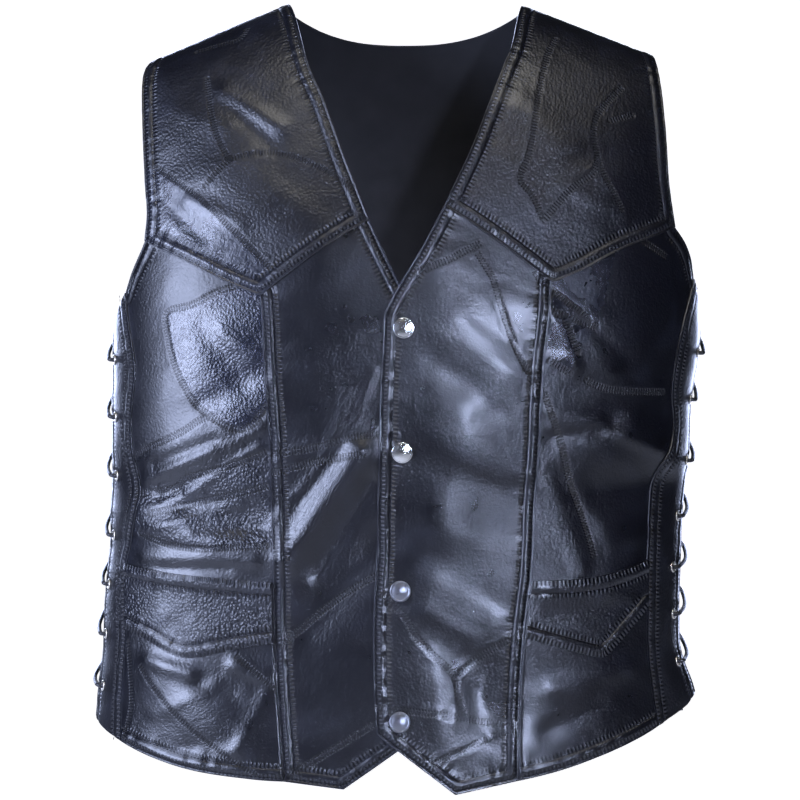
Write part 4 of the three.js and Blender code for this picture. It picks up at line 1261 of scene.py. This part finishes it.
# %% Eyelets
FLANGE_FLAT = 0.72  # height of the flange's round over that of a full circle
flange = arc((3.1, LAPPED + 0.3 + 0.1), 1.05, 0, 180, 10) * [1, FLANGE_FLAT] + [0, 0.75]
barrel = np.array([(2.0, 1.0), (2.0, -1.4), (3.6, -1.45), (3.7, -1.2), (2.6, -0.85), (2.6, 2.7), (4.15, 2.7)])
eyelet_profile = np.concatenate([barrel, flange, [(2.0, 1.0)]])
eyelet_rings = {}
for cut in (RIGHT, LEFT):
    for place, (_, points, out) in zip(("front", "back"), eyelets[cut["name"]]):
        key = f"{place}_{cut['name']}"
        eyelet_rings[key] = turned(f"eyelets_{key}", eyelet_profile, list(zip(points, out)), 24)
print("eyelet rings:", sum(len(ring.data.polygons) for ring in eyelet_rings.values()), "faces")

# %% Stop knots
KNOT = dict(size=3.4, core=1.35, strand=1.3, sink=3.7)


def knot(name, centre):
    """Stop knot: a tube round a closed trefoil, which is sin t + 2 sin 2t across, cos t - 2 cos 2t up and
    -sin 3t deep."""
    t = np.linspace(0, 2 * math.pi, 49)[:-1]
    path = np.stack([np.sin(t) + 2 * np.sin(2 * t), np.cos(t) - 2 * np.cos(2 * t), -1.1 * np.sin(3 * t)], -1)
    path = path / 3.0 * (KNOT["size"] - KNOT["core"]) + centre
    tangent = unit(np.roll(path, -1, 0) - np.roll(path, 1, 0))
    outwards = path - centre
    side = unit(outwards - tangent * (outwards * tangent).sum(-1, keepdims=True) + [0, 0, 1e-3])
    up = np.cross(tangent, side)
    turn = np.linspace(0, 2 * math.pi, 8, endpoint=False)
    ring = side[:, None] * np.cos(turn)[None, :, None] + up[:, None] * np.sin(turn)[None, :, None]
    points = path[:, None] + KNOT["strand"] * ring
    faces = grid_faces(len(t) + 1, 8, wrap=True) % (len(t) * 8)
    values = dict(lace_run=np.repeat(t * 4, 8), lace_turn=np.tile(turn, len(t)))
    return new_mesh(name, points.reshape(-1, 3), faces, values)


knots = {}
for cut in (RIGHT, LEFT):
    front, back = eyelets[cut["name"]]
    _, path, _ = laces[cut["name"]]
    ends = [(path[0], front[2][0]), (path[-1], back[2][-1])]
    knots[cut["name"]] = [
        knot(f"lace_{cut['name']}_knot_{k + 1}", end - out * KNOT["sink"])
        for k, (end, out) in enumerate(ends)
    ]

# %% [markdown]
# ## Shader helper
#
# A material is arithmetic on numbers that change over the surface. With nodes alone, a line of arithmetic
# becomes a dozen calls, so a small class wraps a socket and lets it be added and multiplied like a number.

# %% Sockets as numbers
class Link:
    """A socket that takes part in sums; every operator adds one Math node to its tree."""

    def __init__(self, tree, socket):
        self.tree, self.socket = tree, socket

    def maths(self, operation, *values):
        """The result of a Math node that is given the values."""
        node = self.tree.nodes.new("ShaderNodeMath")
        node.operation = operation
        for socket, value in zip(node.inputs, values):
            if isinstance(value, Link):
                self.tree.links.new(value.socket, socket)
            else:
                socket.default_value = value
        return Link(self.tree, node.outputs[0])

    def __add__(self, other): return self.maths("ADD", self, other)
    def __sub__(self, other): return self.maths("SUBTRACT", self, other)
    def __rsub__(self, other): return self.maths("SUBTRACT", other, self)
    def __mul__(self, other): return self.maths("MULTIPLY", self, other)
    def sine(self): return self.maths("SINE", self)
    def size(self): return self.maths("ABSOLUTE", self)
    def least(self, other): return self.maths("MINIMUM", self, other)
    def most(self, other): return self.maths("MAXIMUM", self, other)

    def bell(self, centre, width):
        """exp(-((x - centre) / width)^2)."""
        away = (self - centre) * (1 / width)
        return self.maths("EXPONENT", away * away * -1.0)

    def step(self, low, high):
        """Smooth step from 0 at low to 1 at high."""
        node = self.tree.nodes.new("ShaderNodeMapRange")
        node.interpolation_type = "SMOOTHSTEP"
        self.tree.links.new(self.socket, node.inputs["Value"])
        node.inputs["From Min"].default_value, node.inputs["From Max"].default_value = low, high
        return Link(self.tree, node.outputs["Result"])


class Finish:
    """A material under construction, round one Principled shader."""

    def __init__(self, name, **constants):
        self.material = bpy.data.materials.new(name)
        self.material.use_nodes = True
        self.tree = self.material.node_tree
        self.shader = self.tree.nodes["Principled BSDF"]
        for key, value in constants.items():
            self.shader.inputs[key.replace("_", " ")].default_value = value

    def node(self, kind, settings=None, **sockets):
        """Any node: its type, its settings, which are set first, and the values or links of its sockets."""
        node = self.tree.nodes.new(kind)
        for key, value in (settings or {}).items():
            setattr(node, key, value)
        live = [socket for socket in node.inputs if socket.enabled]
        for key, value in sockets.items():
            socket = next(one for one in live if one.name == key.replace("_", " "))
            if isinstance(value, Link):
                self.tree.links.new(value.socket, socket)
            else:
                socket.default_value = value
        return Link(self.tree, next(one for one in node.outputs if one.enabled))

    def number(self, name):
        """A value stored on the mesh's points."""
        node = self.tree.nodes.new("ShaderNodeAttribute")
        node.attribute_name = name
        return Link(self.tree, node.outputs["Fac"])

    def place(self, scale=(1000, 1000, 1000)):
        """Place on the object in millimetres, each axis times its own scale."""
        node = self.tree.nodes.new("ShaderNodeTexCoord")
        scaled = self.tree.nodes.new("ShaderNodeVectorMath")
        scaled.operation = "MULTIPLY"
        self.tree.links.new(node.outputs["Object"], scaled.inputs[0])
        scaled.inputs[1].default_value = scale
        return Link(self.tree, scaled.outputs["Vector"])

    def noise(self, place, size, detail=3.0, roughness=0.5, distortion=0.0):
        """Cloudy noise from 0 to 1 with features of a size in millimetres."""
        return self.node("ShaderNodeTexNoise", Vector=place, Scale=1 / size, Detail=detail,
                         Roughness=roughness, Distortion=distortion)

    def mix(self, amount, first, second):
        """Two colours mixed by an amount."""
        first, second = [one if isinstance(one, Link) else (*one, 1) for one in (first, second)]
        return self.node("ShaderNodeMix", dict(data_type="RGBA"), Factor=amount, A=first, B=second)

    def give(self, socket, value):
        """Links a value to one of the shader's sockets."""
        self.tree.links.new(value.socket, self.shader.inputs[socket])

    def relief(self, height, strength=1.0):
        """Bump from a height in millimetres."""
        bump = self.node("ShaderNodeBump", Height=height, Distance=0.001, Strength=strength)
        self.give("Normal", bump)


# %% [markdown]
# ## Leather
#
# The vest is drum-dyed cowhide with a semi-gloss top coat. Its black has a blue cast, its grain differs
# from piece to piece, and the rows and seams pull it into small puckers. The fine pattern is bump, because
# it is smaller than any mesh here could carry. The distances to the sewn lines come from the mesh, and so
# does a soft swell over the belly that only the light shows.

# %% Leather finish
PEBBLE = 2.2
HOLE_PITCH = 2.3


def creases(finish, turn, size, stretch):
    """Lines in one direction: 1 on thin ridges of a noise stretched along them, 0 between them."""
    place = finish.node("ShaderNodeMapping", dict(vector_type="TEXTURE"), Vector=finish.place(),
                        Rotation=(0, math.radians(turn), 0), Scale=(1, 1, stretch))
    cloud = finish.noise(place, size, 3.0, 0.55, 0.5)
    return 1 - ((cloud - 0.5).size() * 7.0).least(1.0)


def leather(name, dark, light, rough, grain, crease, coat=0.3):
    """Leather: rows and seams as troughs, pebbles from cells, creases from stretched noise, all in mm."""
    finish = Finish(name, Coat_Weight=coat, Coat_Roughness=0.22, IOR=1.5)
    place = finish.place()
    gap, run = finish.number("border_gap"), finish.number("border_run")
    patch, patch_run = finish.number("patch_gap"), finish.number("patch_run")
    local_grain, tone_and_painted_sheen = finish.number("grain"), finish.number("tone_and_painted_sheen")

    beat = (run * (2 * math.pi / PITCH)).sine()
    rows = gap.bell(ROWS[0], 0.7) + gap.bell(ROWS[1], 0.8)
    scallop = (gap.bell(ROWS[0] + 1.4, 1.2) + gap.bell(ROWS[1] + 1.6, 1.7)) * beat
    holes_with_painted_shade = patch.bell(1.8, 0.75) * ((patch_run * (2 * math.pi / HOLE_PITCH)).sine() * 0.8 + 0.5).most(0.0)
    sewn = gap.bell(6.1, 2.6) * 0.5 - rows * 0.7 + scallop * 0.42 - holes_with_painted_shade * 0.5 - patch.bell(0, 0.5) * 0.12

    cells = finish.node("ShaderNodeTexVoronoi", dict(feature="F1"), Vector=place, Scale=1 / PEBBLE)
    pebbles = (1 - cells * 1.3).most(0.0)
    fine = finish.noise(place, 1.8, 3.0, 0.65)
    blotch = finish.noise(place, 24.0, 4.0, 0.5)
    crumple = creases(finish, 15, 7.0, 1.4) * finish.number("crumple")
    steep = creases(finish, 28, 3.4, 4.5) * finish.number("steep")
    shallow = creases(finish, 70, 4.0, 4.0) * finish.number("shallow")
    relief = pebbles * (local_grain * 0.3 + grain) + fine * 0.25 + blotch * 0.25
    lines = crumple * (crease * 0.3) + steep * (crease * 0.15) + shallow * (crease * 0.15)
    finish.relief(sewn + relief - lines + finish.number("sag"))

    # Lighter colour: rubbed wear at the sewn edges and random blotches, plus a painted sheen where a patch's
    # tone is light.
    wear_and_painted_sheen = gap.bell(0, 1.1) * 0.5 + blotch.step(0.5, 0.7) * 0.25 + (tone_and_painted_sheen * 0.6).most(0.0)
    shade = finish.mix(wear_and_painted_sheen, dark, light)
    # The needle holes are sunk by the bump and painted near black: a painted shade in the holes.
    finish.give("Base Color", finish.mix(holes_with_painted_shade * 0.8, shade, (0.002, 0.002, 0.003)))
    finish.give("Roughness", blotch * 0.2 + (rough - 0.1) - tone_and_painted_sheen * 0.07 + holes_with_painted_shade * 0.3)
    return finish.material


INK, SLATE = (0.0028, 0.0031, 0.006), (0.014, 0.016, 0.027)
smooth_leather = leather("leather_smooth_finish", INK, SLATE, 0.31, 0.08, 1.0)
grained_leather = leather("leather_grained_finish", INK, SLATE, 0.34, 0.20, 1.1)
strip_leather = leather("leather_strip_finish", INK, SLATE, 0.42, 0.14, 0.8)


def suede(name):
    """Flesh side of the leather: a matt, fibrous dark grey."""
    finish = Finish(name, Specular_IOR_Level=0.2)
    place = finish.place()
    nap = finish.noise(place, 0.8, 4.0, 0.7)
    cloud = finish.noise(place, 22.0, 3.0)
    shade = finish.mix(cloud * 0.6 + nap * 0.3, (0.012, 0.012, 0.014), (0.035, 0.035, 0.038))
    finish.give("Base Color", shade)
    finish.give("Roughness", nap * 0.1 + 0.85)
    finish.relief(nap * 0.12)
    return finish.material


flesh_side = suede("leather_flesh_side")

# %% [markdown]
# ## Metal, thread and lace
#
# The snaps are nickel plated, two of them darker than the others. The eyelets are warmer. Metal shows
# only what it reflects, so its finish is mostly faint scratches and a varying roughness.

# %% Metal, thread and lace finishes
def plated(name, colour, dull, rough):
    """Plated metal: fine scratches as bump, and dull spots where the plating is worn."""
    finish = Finish(name, Metallic=1.0)
    place = finish.place()
    scratches = finish.noise(finish.place((1000, 1000, 180)), 0.6, 3.0, 0.6)
    spots = finish.noise(place, 2.4, 3.0)
    finish.give("Base Color", finish.mix(spots.step(0.55, 0.85), colour, dull))
    finish.give("Roughness", spots * 0.06 + scratches * 0.04 + (rough - 0.05))
    finish.relief(scratches * 0.002)
    return finish.material


nickel = plated("snap_nickel", (0.78, 0.78, 0.76), (0.6, 0.6, 0.58), 0.24)
pewter = plated("snap_pewter", (0.24, 0.245, 0.27), (0.15, 0.155, 0.17), 0.34)
warm_nickel = plated("eyelet_nickel", (0.72, 0.67, 0.58), (0.5, 0.45, 0.38), 0.28)


def thread_finish(name):
    """Black bonded thread: a slight sheen and a fine twist."""
    finish = Finish(name, Specular_IOR_Level=0.15)
    twist = finish.noise(finish.place(), 0.5, 2.0)
    finish.give("Base Color", finish.mix(twist, (0.004, 0.004, 0.007), (0.014, 0.015, 0.023)))
    finish.give("Roughness", twist * 0.2 + 0.5)
    finish.relief(twist * 0.05)
    return finish.material


LACE_TWIST = 90


def lace_finish(name):
    """Round leather lace: fine grain, a faint seam that winds once round in LACE_TWIST, rubbed high spots."""
    finish = Finish(name, Coat_Weight=0.2, Coat_Roughness=0.3)
    place = finish.place()
    run, turn = finish.number("lace_run"), finish.number("lace_turn")
    seam = (run * (2 * math.pi / LACE_TWIST) + turn).sine().step(0.97, 1.0)
    grain = finish.noise(place, 0.8, 3.0, 0.6)
    cloud = finish.noise(place, 6.0, 3.0)
    finish.give("Base Color", finish.mix(cloud * 0.8, (0.008, 0.008, 0.011), (0.024, 0.025, 0.033)))
    finish.give("Roughness", cloud * 0.2 + 0.34)
    finish.relief(grain * 0.12 - seam * 0.12)
    return finish.material


thread_black = thread_finish("thread_black")
lace_leather = lace_finish("lace_leather_finish")

# %% Dressing the pieces
def dress(piece, *materials):
    """Gives the finishes to the piece's slots, in order."""
    for material in materials:
        piece.data.materials.append(material)


def is_grained(panel):
    """Whether a panel is of pebbled leather, as the yokes and the pocket flaps are."""
    return panel.name.startswith(("yoke", "pocket_flap"))


for panel in panels:
    strip = panel.name.startswith("side_strip")
    outer = grained_leather if is_grained(panel) else strip_leather if strip else smooth_leather
    dress(pieces[panel.name], outer, flesh_side)
dress(thread, thread_black)
dress(zigzag, thread_black)
for k, (cap, stud) in enumerate(zip(caps, studs)):
    dress(cap, nickel if k < 2 else pewter)
    dress(stud, nickel)
for ring in eyelet_rings.values():
    dress(ring, warm_nickel)
for side, (lace, _, _) in laces.items():
    dress(lace, lace_leather)
    for one in knots[side]:
        dress(one, lace_leather)

# %% [markdown]
# ## Light and floor
#
# The vest hangs in the air as if worn, in front of white. Black leather shows only its reflections, so the
# place of each soft box decides which folds are seen. The photograph's main light is a large box on the
# left, and a wide warm one above it. A third, in front to the right, has a grid, so that it reaches the
# belly and not the camera's side of every fold. Two boxes light the back.
#
# A white studio floor would be seen in the leather too. So the camera alone sees the pale floor and the
# white dome, and the leather sees a dim twin of the floor.

# %% Soft boxes
def soft_box(name, place, aim, width, height, watts, colour, spread=180):
    """Area light at a place, turned so that it shines at the aim: its third axis is the unit step from the
    aim to the place. A small spread is a soft box with a grid."""
    lamp = bpy.data.lights.new(name, "AREA")
    lamp.shape, lamp.size, lamp.size_y, lamp.energy, lamp.color = "RECTANGLE", width, height, watts, colour
    lamp.spread = math.radians(spread)
    box = bpy.data.objects.new(name, lamp)
    out = unit(np.array(place, float) - np.array(aim, float))
    side = unit(np.cross([0, 0, 1], out))
    up = np.cross(out, side)
    turn = np.stack([side, up, out], -1)
    rows = [[*turn[k], place[k]] for k in range(3)]
    box.matrix_world = Matrix([*rows, [0, 0, 0, 1]])
    bpy.context.scene.collection.objects.link(box)
    return box


COOL = (0.60, 0.69, 1.0)
soft_box("left_box", (-2.15, -1.5, 0.1), (0, 0, -0.3), 1.0, 1.3, 105, COOL)
soft_box("front_box", (0.95, -2.95, 0.05), (0.08, -0.1, -0.33), 1.2, 1.1, 2.1, COOL, 8)
soft_box("top_box", (0.1, -1.6, 2.2), (0, 0, -0.3), 2.2, 1.2, 40, (1.0, 0.97, 0.92))
soft_box("back_box", (-1.3, 2.7, 0.3), (0, 0, -0.3), 1.8, 1.5, 110, COOL)
soft_box("rear_box", (1.1, 2.8, -0.1), (0, 0, -0.3), 1.6, 1.8, 90, COOL)

# %% Floor, dome and sky
def flat_finish(name, colour, glow):
    """A plain matt ground with a little glow of its own."""
    finish = Finish(name, Roughness=0.9, Emission_Strength=glow)
    finish.shader.inputs["Base Color"].default_value = (*colour, 1)
    finish.shader.inputs["Emission Color"].default_value = (*colour, 1)
    return finish.material


FLOOR = dict(height=-1300.0, radius=4800, rings=6)
DOME = dict(radius=9000, rings=24)
AROUND = 64
PALE = (0.8, 0.8, 0.8)


def rings(radius, height):
    """Rings of points round the vertical axis, at each radius and height in turn."""
    turn = np.linspace(0, 2 * math.pi, AROUND, endpoint=False)
    radius, height = radius[:, None], height[:, None]
    return np.stack([radius * np.cos(turn), radius * np.sin(turn), height + 0 * turn], -1).reshape(-1, 3)


disc = rings(np.linspace(0.001, FLOOR["radius"], FLOOR["rings"]), np.full(FLOOR["rings"], FLOOR["height"]))
disc_faces = grid_faces(FLOOR["rings"], AROUND, wrap=True)[:, ::-1]
floor = new_mesh("floor", disc, disc_faces)
dress(floor, flat_finish("floor_pale", PALE, 0.75))
bounce = new_mesh("floor_bounce", disc, disc_faces)
dress(bounce, flat_finish("floor_bounce_pale", PALE, 0.05))
tilt = np.linspace(-math.pi / 2 + 0.01, math.pi / 2 - 0.01, DOME["rings"])
ball = rings(DOME["radius"] * np.cos(tilt), DOME["radius"] * np.sin(tilt))
dome = new_mesh("ground_dome", ball, grid_faces(DOME["rings"], AROUND, wrap=True))
dress(dome, flat_finish("dome_white", (1, 1, 1), 1.0))
for ground in (floor, bounce, dome):
    ground.visible_camera = ground is not bounce
    ground.visible_glossy = ground is bounce
    ground.visible_diffuse = ground is bounce
    ground.visible_shadow = ground is bounce

world = bpy.data.worlds.new("sky")
world.use_nodes = True
world.node_tree.nodes["Background"].inputs["Color"].default_value = (0.55, 0.6, 0.75, 1)
world.node_tree.nodes["Background"].inputs["Strength"].default_value = 0.035
bpy.context.scene.world = world
bpy.context.scene.view_settings.view_transform = "Standard"

# %% [markdown]
# ## Tying the pieces to the imported model
#
# Every piece rides on the one body, and the imported node that it stands for is hidden. The leather
# sheets carry the size they were cut to.

# %% Pieces on the body, in place of the imported nodes
for panel in panels:
    piece = pieces[panel.name]
    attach(piece, "root")
    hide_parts(panel.name)
    across, along, area = piece["cut"]
    min(area, across * along)
for one in (thread, zigzag):
    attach(one, "root")
for k, (cap, stud) in enumerate(zip(caps, studs)):
    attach(cap, "root")
    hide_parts(f"snap_cap_{k + 1}")
    "snap_bright" if k < 2 else "snap_dark"
    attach(stud, "root")
    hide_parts(f"snap_stud_{k + 1}")
for key, ring in eyelet_rings.items():
    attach(ring, "root")
    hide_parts(*[f"eyelet_{key}_{k}" for k in range(1, 8)])
for side, (lace, path, length) in laces.items():
    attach(lace, "root")
    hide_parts(f"lace_{side}")
    for k, one in enumerate(knots[side]):
        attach(one, "root")
        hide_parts(f"lace_knot_{side}_{k + 1}")
    tuple(path[0] * MM)
    length * MM
    [tuple(point * MM) for point in path]
